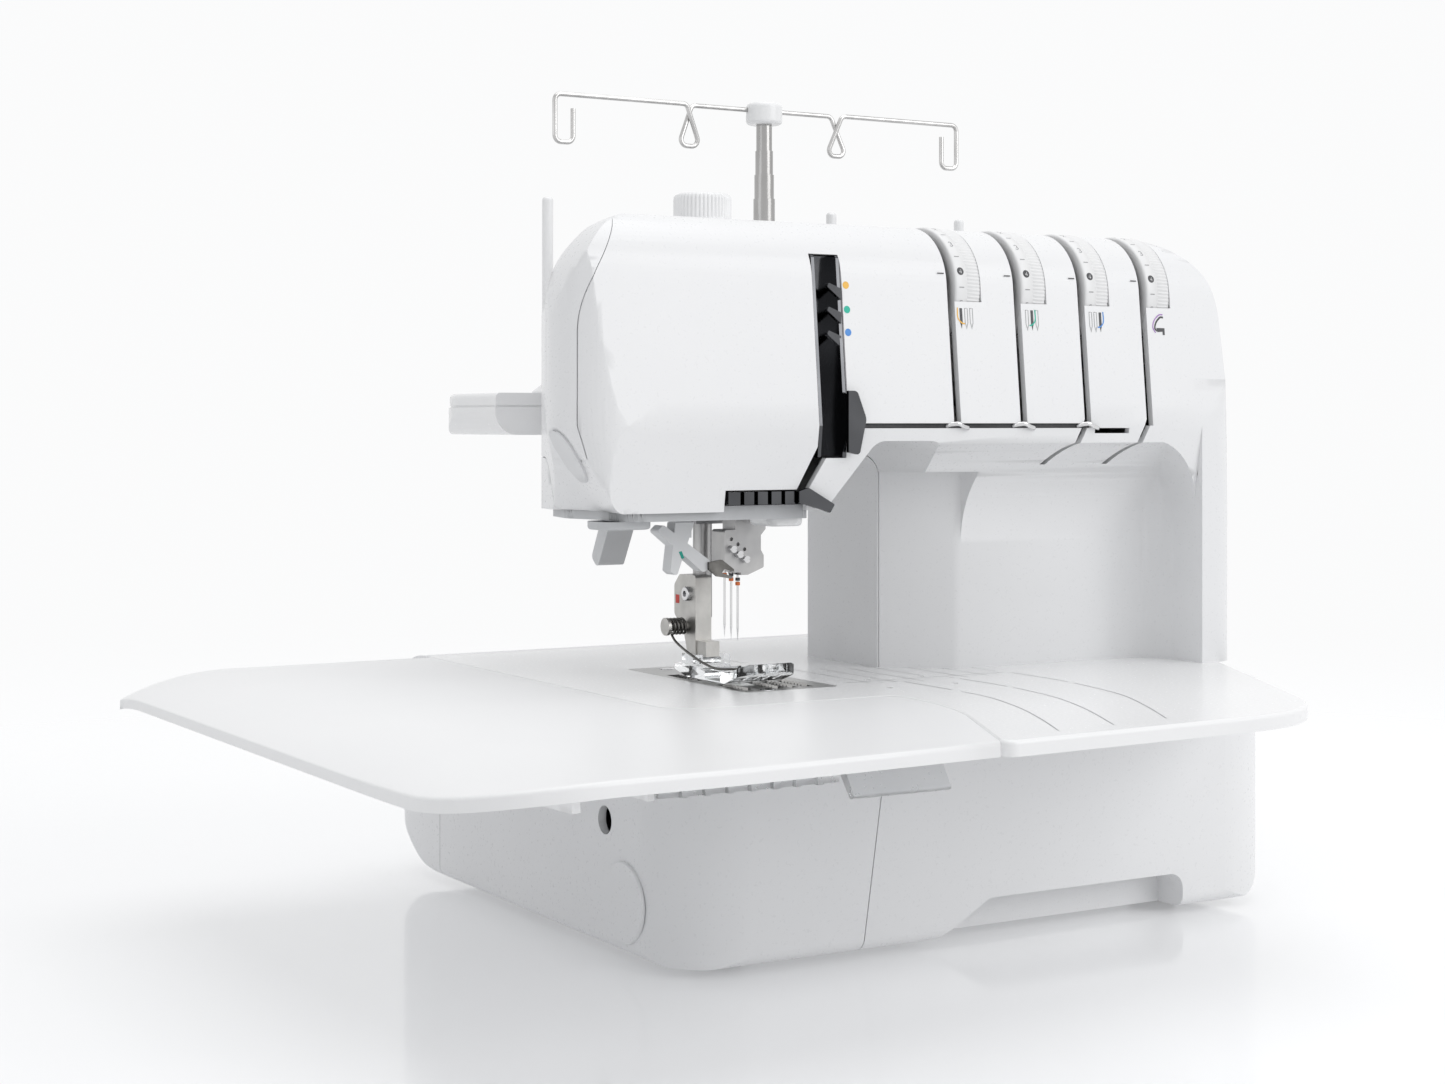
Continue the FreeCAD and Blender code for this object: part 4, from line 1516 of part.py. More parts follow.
def make_drive():
    """Main shaft with its two pulleys, upper shaft with pulley and crank, belts, motor and handwheel."""
    p, w, q = "(pulley_place - main_left)", "pulley_wide", "(pulley_place + pulley_wide + 2 - main_left)"
    end = "base_right + wheel_gap + wheel_thick - 3 - main_left"
    main = turned("main_form", [
        ("0", "0"), ("shaft_radius", "0", "1"), ("shaft_radius", f"{p} - 1"),
        ("timing_radius + flange", f"{p} - 1"),
        ("timing_radius + flange", p), ("timing_radius", p), ("timing_radius", f"{p} + {w}"),
        ("timing_radius + flange", f"{p} + {w}"), ("timing_radius + flange", f"{q} - 1"),
        ("drive_radius + flange", f"{q} - 1"),
        ("drive_radius + flange", q), ("drive_radius", q), ("drive_radius", f"{q} + {w}"),
        ("drive_radius + flange", f"{q} + {w}"), ("drive_radius + flange", f"{q} + {w} + 1"),
        ("shaft_radius", f"{q} + {w} + 1"),
        ("shaft_radius", end, "1"), ("0", end),
    ], "main_left", "shaft_back", "shaft_height", "X")
    publish(main, "main_shaft")
    crank_right = "link_right + 11.6"
    u = f"(pulley_place - ({crank_right}))"
    upper = turned("upper_form", [
        ("0", "0"), ("shaft_radius", "0"), ("shaft_radius", f"{u} - 1"),
        ("timing_radius + flange", f"{u} - 1"),
        ("timing_radius + flange", u), ("timing_radius", u), ("timing_radius", f"{u} + {w}"),
        ("timing_radius + flange", f"{u} + {w}"), ("timing_radius + flange", f"{u} + {w} + 1"),
        ("0", f"{u} + {w} + 1"),
    ], crank_right, "0", "upper_height", "X")
    publish(upper, "upper_shaft")
    disc = rod("crank_disc", "crank_throw + 3", "7", f"{crank_right} - 7", "0", "upper_height", "X")
    pin = rod("crank_pin", "2.5", "6", "link_right + 0.4", "0", "upper_height + crank_throw", "X")
    scoop = prism("crank_scoop", "YZ", [
        ("-30", "upper_height + 6"), ("-8", "upper_height + 6", "5"),
        ("-6", "upper_height + crank_throw + 20"), ("-30", "upper_height + crank_throw + 20"),
    ], f"{crank_right} - 20", f"{crank_right} + 5")
    other = prism("crank_other", "YZ", [
        ("30", "upper_height + 6"), ("8", "upper_height + 6", "5"),
        ("6", "upper_height + crank_throw + 20"), ("30", "upper_height + crank_throw + 20"),
    ], f"{crank_right} - 20", f"{crank_right} + 5")
    publish(joined("crank_done", cut("crank_shaped", disc, scoop, other), pin), "needle_crank")
    low, high = "upper_height + crank_throw", "upper_height + crank_throw + link_long"
    def link_lines(sketch):
        draw_loop(sketch, ("0", low, "5"), ("0", high, "5"))
        draw_circle(sketch, "0", low, "2.7")
        draw_circle(sketch, "0", high, "2.5 + running_gap")
    publish(padded("link_form", "YZ", "link_right - 3.8", "link_right", link_lines), "needle_link")
    belt("timing_form", "timing_belt", ("shaft_back", "shaft_height", "timing_radius"),
         ("0", "upper_height", "timing_radius"),
         "pulley_place + 0.4", "pulley_place + pulley_wide - 0.4")
    belt("drive_form", "motor_belt", ("shaft_back", "shaft_height", "drive_radius"),
         ("motor_back", "motor_height", "motor_pulley_radius"),
         "pulley_place + pulley_wide + 2.4", "pulley_place + 2 * pulley_wide + 1.6")
    bore, inside = "rotor_shaft + running_gap", "motor_radius - motor_wall"
    case = turned("motor_form", [
        ("0", "0"), ("motor_radius", "0", "3"), ("motor_radius", "motor_long", "3"), ("9", "motor_long"),
        ("9", "motor_long + 3"), (bore, "motor_long + 3"), (bore, "motor_long - motor_wall"),
        (inside, "motor_long - motor_wall"), (inside, "motor_wall"), (bore, "motor_wall"),
        (bore, "motor_wall / 2"),
        ("0", "motor_wall / 2"),
    ], "motor_left", "motor_back", "motor_height", "X")
    publish(case, "motor")
    start = "(motor_left + motor_wall / 2 + 0.4)"
    m = f"(pulley_place + pulley_wide + 2 - {start})"
    rotor = turned("rotor_form", [
        ("0", "0"), ("rotor_shaft", "0"), ("rotor_shaft", "motor_wall + motor_gap"),
        ("rotor_radius", "motor_wall + motor_gap"),
        ("rotor_radius", "motor_long - 2 * motor_wall - 2 * motor_gap"),
        ("rotor_shaft", "motor_long - 2 * motor_wall - 2 * motor_gap"), ("rotor_shaft", f"{m} - 1"),
        ("motor_pulley_radius + flange", f"{m} - 1"), ("motor_pulley_radius + flange", m),
        ("motor_pulley_radius", m), ("motor_pulley_radius", f"{m} + {w}"),
        ("motor_pulley_radius + flange", f"{m} + {w}"),
        ("motor_pulley_radius + flange", f"{m} + {w} + 1"), ("0", f"{m} + {w} + 1"),
    ], start, "motor_back", "motor_height", "X")
    publish(rotor, "motor_pulley")
    wheel = turned("wheel_form", [
        ("shaft_radius + running_gap", "0"), ("wheel_radius - 8", "0"), ("wheel_radius", "2", "2"),
        ("wheel_radius", "wheel_thick - 4", "3"),
        ("wheel_radius - 6", "wheel_thick", "3"), ("wheel_radius - 12", "wheel_thick - 3", "2"),
        ("12", "wheel_thick - 3"),
        ("10", "wheel_thick", "1"), ("shaft_radius + running_gap", "wheel_thick"),
    ], "base_right + wheel_gap", "shaft_back", "shaft_height", "X")
    publish(wheel, "handwheel")


def make_frames():
    """Base frame on the tub's floor and arm frame on the bed: the bearings of everything that turns."""
    low = "foot_height + base_wall"
    floor = block("frame_plate", ("-30", "178"), ("-20", "112"), (low, f"{low} + frame_floor"))
    level = f"{low} + frame_floor"
    parts = [floor]
    for number, x in enumerate(("60", "168"), start=1):
        parts.append(prism(f"bearing_wall_{number}", "YZ", [
            ("shaft_back - 22", f"{level} - 1"), ("shaft_back + 22", f"{level} - 1"),
            ("shaft_back + 12", "shaft_height + 12", "8"),
            ("shaft_back - 12", "shaft_height + 12", "8"),
        ], x, f"{x} + 6", [("shaft_back", "shaft_height", "shaft_radius + running_gap")]))
    for number, y in enumerate(("12", "28"), start=1):
        parts.append(prism(f"looper_post_{number}", "XZ", [
            ("looper_place - 14", f"{level} - 1"), ("looper_place + 14", f"{level} - 1"),
            ("looper_place + 8", "looper_height + 8", "5"),
            ("looper_place - 8", "looper_height + 8", "5"),
        ], y, f"{y} + 6", [("looper_place", "looper_height", "looper_radius + running_gap")]))
    parts.append(prism("motor_plate", "YZ", [
        ("motor_back - 20", f"{level} - 1"), ("motor_back + 8", f"{level} - 1"),
        ("motor_back + 20", "motor_height", "6"),
        ("motor_back", "motor_height + 20", "6"), ("motor_back - 20", "motor_height", "6"),
    ], "motor_left - 6", "motor_left", [("motor_back", "motor_height", "8")]))
    publish(joined("base_frame_done", *parts), "base_frame")
    beam = block("beam", ("-beam_left", "beam_right"), ("beam_front", "beam_back"),
                 ("beam_low", "beam_high"))
    pockets = [block(f"pocket_{number}", (a, b), ("beam_front + 6", "beam_back + 5"),
                     ("beam_low + 8", "beam_high - 8"))
               for number, (a, b) in enumerate((("-beam_left + 8", "-14"), ("12", "60"),
                                                ("70", "post_left - 2"),
                                                ("post_right + 2", "beam_right - 8")), start=1)]
    post = block("post", ("post_left", "post_right"), ("beam_front - 7", "beam_back + 1"),
                 ("bed_height", "beam_low + 10"))
    post_pocket = block("post_pocket", ("post_left + 8", "post_right - 8"),
                        ("beam_front + 2", "beam_back + 5"), ("bed_height + 12", "beam_low - 8"))
    flange = block("post_flange", ("post_left - 14", "post_right + 14"),
                   ("beam_front - 12", "beam_back + 5"), ("bed_height", "bed_height + 5"))
    half = ("-lug_half", "bar_side + lug_half")
    web = block("lug_web", half, ("beam_front", "beam_back"), ("low_lug", "beam_low + 5"))
    lugs = [block(f"lug_{number}", half, ("-bar_radius - 3.4", "beam_front + 3"), (z, f"{z} + lug_thick"))
            for number, z in enumerate(("low_lug", "high_lug"), start=1)]
    bush = block("presser_bush", ("-bush_left", "bush_right"),
                 ("presser_back - bush_half", "presser_back + bush_half"),
                 ("bush_low", "low_lug + 3"))
    rests = [prism(f"upper_rest_{number}", "YZ", [
        ("-9", "upper_height - 10", "4"), ("beam_front + 3", "upper_height - 10"),
        ("beam_front + 3", "upper_height + 10"), ("-9", "upper_height + 10", "4"),
    ], x, f"{x} + 9") for number, x in enumerate(("44", "170"), start=1)]
    hanger = block("lifter_hanger", ("-lifter_right + 0.6", "-lifter_right + 6"),
                   ("lifter_back - 6", "beam_back"), ("lifter_high - 6", "beam_low + 5"))
    tabs = [block(f"tab_{number + 1}", (f"{channel(number)} + dial_offset + dial_width + 1",
                                        f"{channel(number)} + dial_offset + dial_width + 1 + tab_thick"),
                  ("-dial_back - 6", "beam_front + 3"),
                  ("dial_high - 6", "dial_high + 6")) for number in range(4)]
    tools = [
        rod("needle_bore", "bar_radius + running_gap", "80", "bar_side", "0", "low_lug - 10"),
        rod("presser_bore", "bar_radius + running_gap", "90", "0", "presser_back", "bush_low - 5"),
        rod("upper_bore", "shaft_radius + running_gap", "200", "30", "0", "upper_height", "X"),
        rod("lifter_bore", "2.5 + running_gap", "20", "-lifter_right - 2", "lifter_back", "lifter_high",
            "X"),
        rod("spindle_bore", "spindle_radius + running_gap", "200", "channel_first", "-dial_back",
            "dial_high", "X"),
    ]
    whole = joined("arm_frame_whole", cut("beam_pocketed", beam, *pockets),
                   cut("post_done", post, post_pocket), flange, web, *lugs, bush, *rests,
                   hanger, *tabs)
    publish(cut("arm_frame_done", whole, *tools), "arm_frame")


# Lists of places that several pieces share
TAPPED = [("45.3", "22.1"), ("69.6", "22.1"), ("37.6", "47.6"), ("66.5", "47.6")]
PLATE_SCREWS = [("-3.1", "-30"), ("0", "48")]
TOE_SLOTS = ["-5.6", "-1.2", "3.2", "7.6"]
ROWS = ["-1.5 * feed_pitch", "0.5 * feed_pitch", "1.5 * feed_pitch", "2.5 * feed_pitch"]


fill_sheet()
make_base()
make_bed()
make_table()
make_table_fittings()
make_needle_plate()
make_looper()
make_arm()
make_tension()
make_guides()
make_underside()
make_needles()
make_presser()
make_threader()
make_lifter()
make_knob()
make_spools()
make_drive()
make_frames()
doc.recompute()

# Every object must have built before anything is written
for thing in doc.Objects:
    faults = [state for state in thing.State if state in ("Invalid", "Error")]
    if faults:
        raise RuntimeError(f"{thing.Name} ({thing.Label}) did not build: {faults}")
for node, thing in pieces.items():
    shape = thing.Shape
    if shape.isNull() or not shape.isValid():
        raise RuntimeError(f"{node} has no valid shape")
os.makedirs("parts", exist_ok=True)
for node, thing in pieces.items():
    thing.Shape.exportStep(f"parts/{node}.step")
    box = thing.Shape.BoundBox
    print(f"{node}: {len(thing.Shape.Solids)} solid(s), X {box.XMin:.1f} to {box.XMax:.1f}, "
          f"Y {box.YMin:.1f} to {box.YMax:.1f}, Z {box.ZMin:.1f} to {box.ZMax:.1f}")
print(f"{len(pieces)} pieces")
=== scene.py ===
# %% [markdown]
# # Cover-stitch machine with extension table: looks
#
# A cover-stitch machine has three needles and one looper, four thread tensions on its arm and a wide table
# round its bed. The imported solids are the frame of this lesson: they give every size and place. The script
# gives each solid a procedural finish, adds what is too fine for a solid (prints, ribs, hooks, wires) as
# mesh code, and sets up floor, light and camera.
#
# Points are written in the needle's own millimetres, with the needle's axis at 0, 0 and the floor at z = 0.
# That keeps the numbers readable, and `to_frame` moves them to the shared frame in metres.

# %% Load the frame
import math

import bmesh
import bpy
import numpy as np
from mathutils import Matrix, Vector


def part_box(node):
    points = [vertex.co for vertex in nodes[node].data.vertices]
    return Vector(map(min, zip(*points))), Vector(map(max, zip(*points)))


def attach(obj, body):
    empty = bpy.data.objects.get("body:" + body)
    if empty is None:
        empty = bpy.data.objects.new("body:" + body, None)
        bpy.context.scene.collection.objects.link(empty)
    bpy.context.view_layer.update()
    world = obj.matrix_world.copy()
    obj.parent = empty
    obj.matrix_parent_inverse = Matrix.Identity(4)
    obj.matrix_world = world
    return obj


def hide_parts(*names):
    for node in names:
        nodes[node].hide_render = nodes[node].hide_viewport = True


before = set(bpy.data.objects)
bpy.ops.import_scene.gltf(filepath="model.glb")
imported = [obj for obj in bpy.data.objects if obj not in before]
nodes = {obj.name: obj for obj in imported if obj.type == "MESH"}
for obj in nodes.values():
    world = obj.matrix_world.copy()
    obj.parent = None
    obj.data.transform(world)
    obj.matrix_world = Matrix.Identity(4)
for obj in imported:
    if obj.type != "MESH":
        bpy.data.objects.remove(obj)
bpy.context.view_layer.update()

# %% [markdown]
# ## Sizes that the trim shares with the solids
#
# Prints and ribs lie on the arm's face, the dials and the bed, so they need the same few sizes as the solids.
# The needles' box gives the shift between the two frames, so nothing has to be fitted by eye.

# %% Shared sizes
MM = 1000.0
NEEDLES = np.array(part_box("needles"), float)
SHIFT = -0.5 * MM * NEEDLES.sum(axis=0) * (1, 1, 0)
FRONT_Y, FRONT_LEAN = -40.0, 7.0
BREAK_Z, ARM_TOP, BED_Z = 183.5, 258.0, 90.0
DIAL_Y, DIAL_Z, DIAL_R, DIAL_W = -11.2, 234.0, 24.5, 11.4
CHANNELS = [73.2 + 30.7 * n for n in range(4)]
FULL_TURN = 2 * math.pi


def to_frame(points):
    """Needle millimetres to metres of the shared frame: p' = (p - shift) / 1000."""
    return (np.asarray(points, float) - SHIFT) / MM


def front_y(z):
    """Front face of the arm: it leans back evenly, by 7 mm from the break line to the top."""
    return FRONT_Y + FRONT_LEAN * (np.asarray(z, float) - BREAK_Z) / (ARM_TOP - BREAK_Z)


print("needle axis at", np.round(to_frame((0, 0, 0)), 4), "m")

# %% [markdown]
# ## A builder for finishes
#
# Moulded plastic, brushed steel and print all vary a little: the colour drifts slowly over a panel, and a fine
# grain breaks up the gloss. An image could show that, but would have to be unwrapped on every piece. Noise in
# object coordinates needs no unwrapping and has a real size, so one builder serves all the finishes. Stretching
# the fine noise along one axis turns grain into brush marks.

# %% Material builder
def socket_set(shader, **values):
    """Sets plain numbers and colours straight on the shader's sockets."""
    for name, value in values.items():
        shader.inputs[name.replace("_", " ")].default_value = value


def noise(tree, vector, scale, detail):
    """A noise node that reads `vector`, with `scale` cells per metre."""
    made = tree.nodes.new("ShaderNodeTexNoise")
    made.inputs["Scale"].default_value = scale
    made.inputs["Detail"].default_value = detail
    tree.links.new(vector, made.inputs["Vector"])
    return made.outputs["Fac"]


def grained(name, low, high, rough, grain=900.0, bump=0.02, stretch=(1, 1, 1), slow=9.0, **extra):
    """Colour goes from low to high with slow noise; roughness and bump follow noise of `grain` cells per metre.

    colour = low + (high - low) n(slow p),  roughness = rough[0] + (rough[1] - rough[0]) n(grain s p)
    """
    material = bpy.data.materials.new(name)
    material.use_nodes = True
    tree = material.node_tree
    shader = tree.nodes["Principled BSDF"]
    coords = tree.nodes.new("ShaderNodeTexCoord")
    mapping = tree.nodes.new("ShaderNodeMapping")
    mapping.inputs["Scale"].default_value = stretch
    tree.links.new(coords.outputs["Object"], mapping.inputs["Vector"])
    ramp = tree.nodes.new("ShaderNodeValToRGB")
    for stop, position, colour in zip(ramp.color_ramp.elements, (0.3, 0.7), (low, high)):
        stop.position, stop.color = position, (*colour, 1)
    tree.links.new(noise(tree, coords.outputs["Object"], slow, 3.0), ramp.inputs["Fac"])
    tree.links.new(ramp.outputs["Color"], shader.inputs["Base Color"])
    fine = noise(tree, mapping.outputs["Vector"], grain, 2.0)
    spread = tree.nodes.new("ShaderNodeMapRange")
    spread.inputs["To Min"].default_value, spread.inputs["To Max"].default_value = rough
    tree.links.new(fine, spread.inputs["Value"])
    tree.links.new(spread.outputs["Result"], shader.inputs["Roughness"])
    relief = tree.nodes.new("ShaderNodeBump")
    relief.inputs["Strength"].default_value = bump
    relief.inputs["Distance"].default_value = 0.0004
    tree.links.new(fine, relief.inputs["Height"])
    tree.links.new(relief.outputs["Normal"], shader.inputs["Normal"])
    socket_set(shader, **extra)
    return material


# %% [markdown]
# ## Plastics
#
# The covers are glossy white mouldings. The bed and the knob are a shade brighter, the table a little more matt
# so that cloth slides on it, and the lever and the plate under the head are grey. The foot is clear and the
# table's bracket is frosted: both transmit light, and only their roughness tells them apart.

# %% Plastics
GLOSS = dict(Specular_IOR_Level=0.45, IOR=1.5)
white = grained("white_moulding", (0.80, 0.805, 0.815), (0.83, 0.833, 0.84), (0.24, 0.34), **GLOSS)
bright = grained("bright_moulding", (0.84, 0.845, 0.85), (0.87, 0.87, 0.875), (0.2, 0.3), **GLOSS)
table_white = grained("table_moulding", (0.83, 0.833, 0.84), (0.855, 0.857, 0.862), (0.26, 0.38),
                      bump=0.03, **GLOSS)
dial_white = grained("dial_moulding", (0.78, 0.782, 0.785), (0.82, 0.82, 0.822), (0.3, 0.42), **GLOSS)
grey = grained("grey_moulding", (0.50, 0.51, 0.525), (0.56, 0.57, 0.58), (0.36, 0.5), bump=0.06, **GLOSS)
pale_grey = grained("pale_grey_moulding", (0.66, 0.67, 0.68), (0.72, 0.725, 0.735), (0.34, 0.46),
                    bump=0.05, **GLOSS)
clear = grained("clear_moulding", (0.93, 0.945, 0.955), (0.96, 0.97, 0.975), (0.03, 0.09), 300, 0.03,
                slow=60, Transmission_Weight=1.0, IOR=1.49)
frosted = grained("frosted_moulding", (0.9, 0.91, 0.92), (0.95, 0.955, 0.96), (0.22, 0.38), 500, 0.06,
                  slow=40, Transmission_Weight=0.82, IOR=1.46)
frosted_pad = grained("lamp_lens", (0.8, 0.81, 0.82), (0.86, 0.865, 0.87), (0.3, 0.42), 700, 0.05,
                      slow=60, Transmission_Weight=0.25, IOR=1.46)
rubber = grained("black_rubber", (0.018, 0.018, 0.019), (0.035, 0.035, 0.036), (0.62, 0.8), 1300, 0.25, slow=60)
# Near-black colour for the sheet in the arm's long slot: painted shade for the inside of the slot.
slot_shade = grained("painted_slot_shade", (0.03, 0.03, 0.033), (0.06, 0.06, 0.064), (0.4, 0.6), 1200, 0.1, slow=80)
print(len(bpy.data.materials), "materials so far")

# %% [markdown]
# ## Metals
#
# Near the needle almost everything is metal, and each metal is worked in another way: the plate is brushed
# along Y, tubes are drawn along Z, the ankle is cast, the thread guides are smoked chrome. A metal's look comes
# from its roughness and grain more than from its colour, so these are what differs.

# %% Metals
steel = grained("machined_steel", (0.34, 0.34, 0.345), (0.47, 0.465, 0.46), (0.24, 0.42), 700, 0.05,
                (1, 1, 0.08), 60, Metallic=1.0)
dark_steel = grained("feed_dog_steel", (0.16, 0.158, 0.155), (0.24, 0.238, 0.233), (0.38, 0.55), 1500, 0.12,
                     slow=90, Metallic=1.0)
cast = grained("cast_ankle_steel", (0.44, 0.435, 0.42), (0.56, 0.55, 0.53), (0.3, 0.5), 1500, 0.16,
               slow=120, Metallic=1.0)
plate_steel = grained("brushed_plate", (0.30, 0.30, 0.30), (0.40, 0.398, 0.39), (0.26, 0.44), 900, 0.07,
                      (1, 0.05, 1), 40, Metallic=1.0)
chrome = grained("chrome", (0.62, 0.62, 0.63), (0.72, 0.72, 0.725), (0.05, 0.13), 500, 0.01,
                 slow=40, Metallic=1.0)
tube_steel = grained("drawn_tube", (0.36, 0.355, 0.35), (0.46, 0.455, 0.45), (0.18, 0.3), 1200, 0.04,
                     (1, 1, 0.03), 30, Metallic=1.0)
wire_steel = grained("bright_wire", (0.48, 0.475, 0.47), (0.6, 0.595, 0.59), (0.16, 0.26), 1500, 0.04,
                     slow=90, Metallic=1.0)
smoked = grained("smoked_chrome", (0.075, 0.077, 0.082), (0.14, 0.142, 0.15), (0.07, 0.17), 400, 0.01,
                 slow=30, Metallic=1.0)
alloy = grained("cast_alloy", (0.40, 0.40, 0.41), (0.52, 0.52, 0.53), (0.42, 0.6), 600, 0.35,
                slow=50, Metallic=1.0)
case = grained("motor_case", (0.035, 0.036, 0.04), (0.06, 0.061, 0.065), (0.4, 0.58), 700, 0.2,
               slow=40, Metallic=0.5)
dark_spring = grained("dark_spring_wire", (0.10, 0.097, 0.092), (0.2, 0.195, 0.185), (0.24, 0.4), 1800, 0.08,
                      slow=200, Metallic=1.0)
print(len(bpy.data.materials), "materials so far")

# %% [markdown]
# ## Printing inks
#
# The marks on the machine are pad-printed: thin, matt and even. Each ink is its own material on a thin shape of
# its own, laid on the surface. Painting them into the plastic's nodes would save objects, but the shapes would
# be harder to place and to read.

# %% Inks
PRINT = dict(grain=2500, bump=0.04, slow=300)
ink = grained("dark_print", (0.045, 0.045, 0.05), (0.08, 0.08, 0.085), (0.45, 0.6), **PRINT)
fine_ink = grained("grey_print", (0.26, 0.262, 0.27), (0.36, 0.362, 0.37), (0.45, 0.6), **PRINT)
INKS = {name: grained(f"{name}_print", low, high, rough, **PRINT) for name, low, high, rough in (
    ("yellow", (0.83, 0.46, 0.07), (0.9, 0.52, 0.1), (0.4, 0.55)),
    ("green", (0.01, 0.42, 0.30), (0.02, 0.5, 0.36), (0.4, 0.55)),
    ("blue", (0.05, 0.22, 0.62), (0.09, 0.3, 0.72), (0.4, 0.55)),
    ("violet", (0.36, 0.2, 0.5), (0.44, 0.26, 0.56), (0.4, 0.55)),
    ("teal", (0.0, 0.26, 0.2), (0.0, 0.34, 0.26), (0.35, 0.5)),
    ("orange", (0.72, 0.16, 0.03), (0.8, 0.2, 0.05), (0.4, 0.55)),
    ("red", (0.62, 0.03, 0.02), (0.74, 0.05, 0.03), (0.35, 0.5)),
)}
print(len(bpy.data.materials), "materials in all")

# %% [markdown]
# ## Every solid gets its finish
#
# The solids come in with plain stand-in materials. A table from finish to names says at a glance what is made
# of what, and the check below it makes sure that no solid is forgotten.

# %% Materials on the solids
DRESS = {
    white: "base_shell looper_cover access_cap front_cover side_cover rear_cover",
    bright: "bed_top pressure_knob mast_cap spool_pins spool_tray spool_deck handwheel",
    table_white: "extension_table",
    dial_white: "tension_dial_1 tension_dial_2 tension_dial_3 tension_dial_4",
    pale_grey: "threader_lever presser_lifter thread_cutter",
    grey: "underside_plate",
    frosted: "table_bracket table_latch",
    clear: "presser_foot",
    plate_steel: "needle_plate",
    dark_steel: "front_feed_dog rear_feed_dog",
    steel: "looper main_shaft upper_shaft needle_crank needle_link needle_clamp needle_bar presser_bar"
           " tension_discs",
    cast: "foot_ankle",
    chrome: "plate_screws needles needle_screws ankle_screw",
    tube_steel: "mast_low mast_middle mast_upper mast_top",
    wire_steel: "guide_wire",
    smoked: "take_up_guide needle_thread_guide",
    dark_spring: "threader_hooks foot_spring",
    alloy: "arm_frame base_frame",
    case: "motor motor_pulley",
    rubber: "rubber_feet motor_belt timing_belt power_switch",
}
for material, names in DRESS.items():
    for name in names.split():
        mesh = nodes[name].data
        mesh.materials.clear()
        mesh.materials.append(material)
undressed = sorted(set(nodes) - {n for names in DRESS.values() for n in names.split()})
assert not undressed, undressed
print(len(DRESS), "finishes on", len(nodes), "solids")

# %% [markdown]
# ## Tools for surfaces
#
# Every added piece is a grid of points: a profile turned about an axis, a section carried along a wire, or a
# ribbon beside a line. Blender's own primitives and modifiers could make some of these, but a grid worked out
# with numpy is exact, and its formula can be read. `piece` puts the grid into a mesh and tells the frame which
# body it moves with.

# %% Grids and pieces
def piece(name, points, faces, material, body, slot, smooth=True):
    """One new object from needle millimetres, riding on a body of the frame."""
    mesh = bpy.data.meshes.new(name)
    mesh.from_pydata(to_frame(points).tolist(), [], faces)
    mesh.validate()
    mesh.polygons.foreach_set("use_smooth", [smooth] * len(mesh.polygons))
    mesh.materials.append(material)
    made = bpy.data.objects.new(name, mesh)
    bpy.context.scene.collection.objects.link(made)
    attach(made, body)
    return made


def sheet_faces(rows, columns, wrap_rows=False, wrap_columns=False):
    """Quads of a rows x columns grid: corner (i, j), then j + 1, then i + 1 too, closed round where asked."""
    i, j = np.meshgrid(np.arange(rows if wrap_rows else rows - 1),
                       np.arange(columns if wrap_columns else columns - 1), indexing="ij")
    below, beside = (i + 1) % rows * columns, (j + 1) % columns
    quads = np.stack([i * columns + j, i * columns + beside, below + beside, below + j], -1)
    return quads.reshape(-1, 4).tolist()


def ring_angles(count):
    """Angles of a full turn, the last one short of the first."""
    return np.linspace(0, FULL_TURN, count, endpoint=False)


# %% [markdown]
# ## Lines and wires
#
# A thread hook or a spring arm is a wire bent through a few points. Straight runs would look like a coat
# hanger, so a Catmull-Rom line is drawn through the points, and a round section is carried along it without
# twisting.

# %% Lines and wires
def smooth_path(corners, turns=8):
    """Catmull-Rom line through the corners: p(t) = 1/2 [1 t t2 t3] M [p0 p1 p2 p3]."""
    c = np.asarray(corners, float)
    c = np.vstack([2 * c[0] - c[1], c, 2 * c[-1] - c[-2]])
    before, here, after, beyond = (part[:, None] for part in (c[:-3], c[1:-2], c[2:-1], c[3:]))
    t = np.linspace(0, 1, turns, endpoint=False)[:, None]
    line = 0.5 * (2 * here + (after - before) * t
                  + (2 * before - 5 * here + 4 * after - beyond) * t ** 2
                  + (3 * here - before - 3 * after + beyond) * t ** 3)
    return np.vstack([line.reshape(-1, c.shape[1]), c[-2:-1]])


def untwisted(ahead):
    """Side direction at each station of a path: the last one, made square to the new way ahead."""
    side = np.cross((0, 0, 1) if abs(ahead[0][2]) < 0.9 else (1, 0, 0), ahead[0])
    sides = np.empty_like(ahead)
    for station, way in enumerate(ahead):
        side = side - way * (side @ way)
        side = side / np.linalg.norm(side)
        sides[station] = side
    return sides


def tube(path, radius, sides=12, flat=1.0):
    """Swept round section: p(s, a) = c(s) + r (cos a u(s) + flat sin a v(s)), with closed round ends."""
    path = np.asarray(path, float)
    ahead = np.gradient(path, axis=0)
    ahead /= np.linalg.norm(ahead, axis=1)[:, None]
    u = untwisted(ahead)
    v = np.cross(ahead, u)
    at = np.r_[0, 0, np.arange(len(path)), -1, -1]
    push = radius * np.r_[-0.9, -0.6, np.zeros(len(path)), 0.6, 0.9]
    size = radius * np.r_[0.3, 0.75, np.ones(len(path)), 0.75, 0.3]
    a = ring_angles(sides)[:, None]
    rings = np.cos(a) * u[at][:, None] + flat * np.sin(a) * v[at][:, None]
    points = (path[at] + ahead[at] * push[:, None])[:, None] + size[:, None, None] * rings
    last = (len(at) - 1) * sides
    ends = [list(range(sides))[::-1], list(range(last, last + sides))]
    return points.reshape(-1, 3), sheet_faces(len(at), sides, wrap_columns=True) + ends


# %% [markdown]
# ## Prints
#
# A print is drawn flat, in two coordinates, as ribbons, discs and filled outlines. A mapping then lays it on
# the dial, the arm or the bed, a few hundredths of a millimetre proud, as real ink is. All shapes run
# anticlockwise, so that their faces look outwards.

# %% Prints
def gather(parts):
    """Several (points, faces) as one, with the face numbers moved on."""
    points, faces, count = [], [], 0
    for p, f in parts:
        points.append(np.asarray(p, float))
        faces += [[i + count for i in face] for face in f]
        count += len(p)
    return np.vstack(points), faces


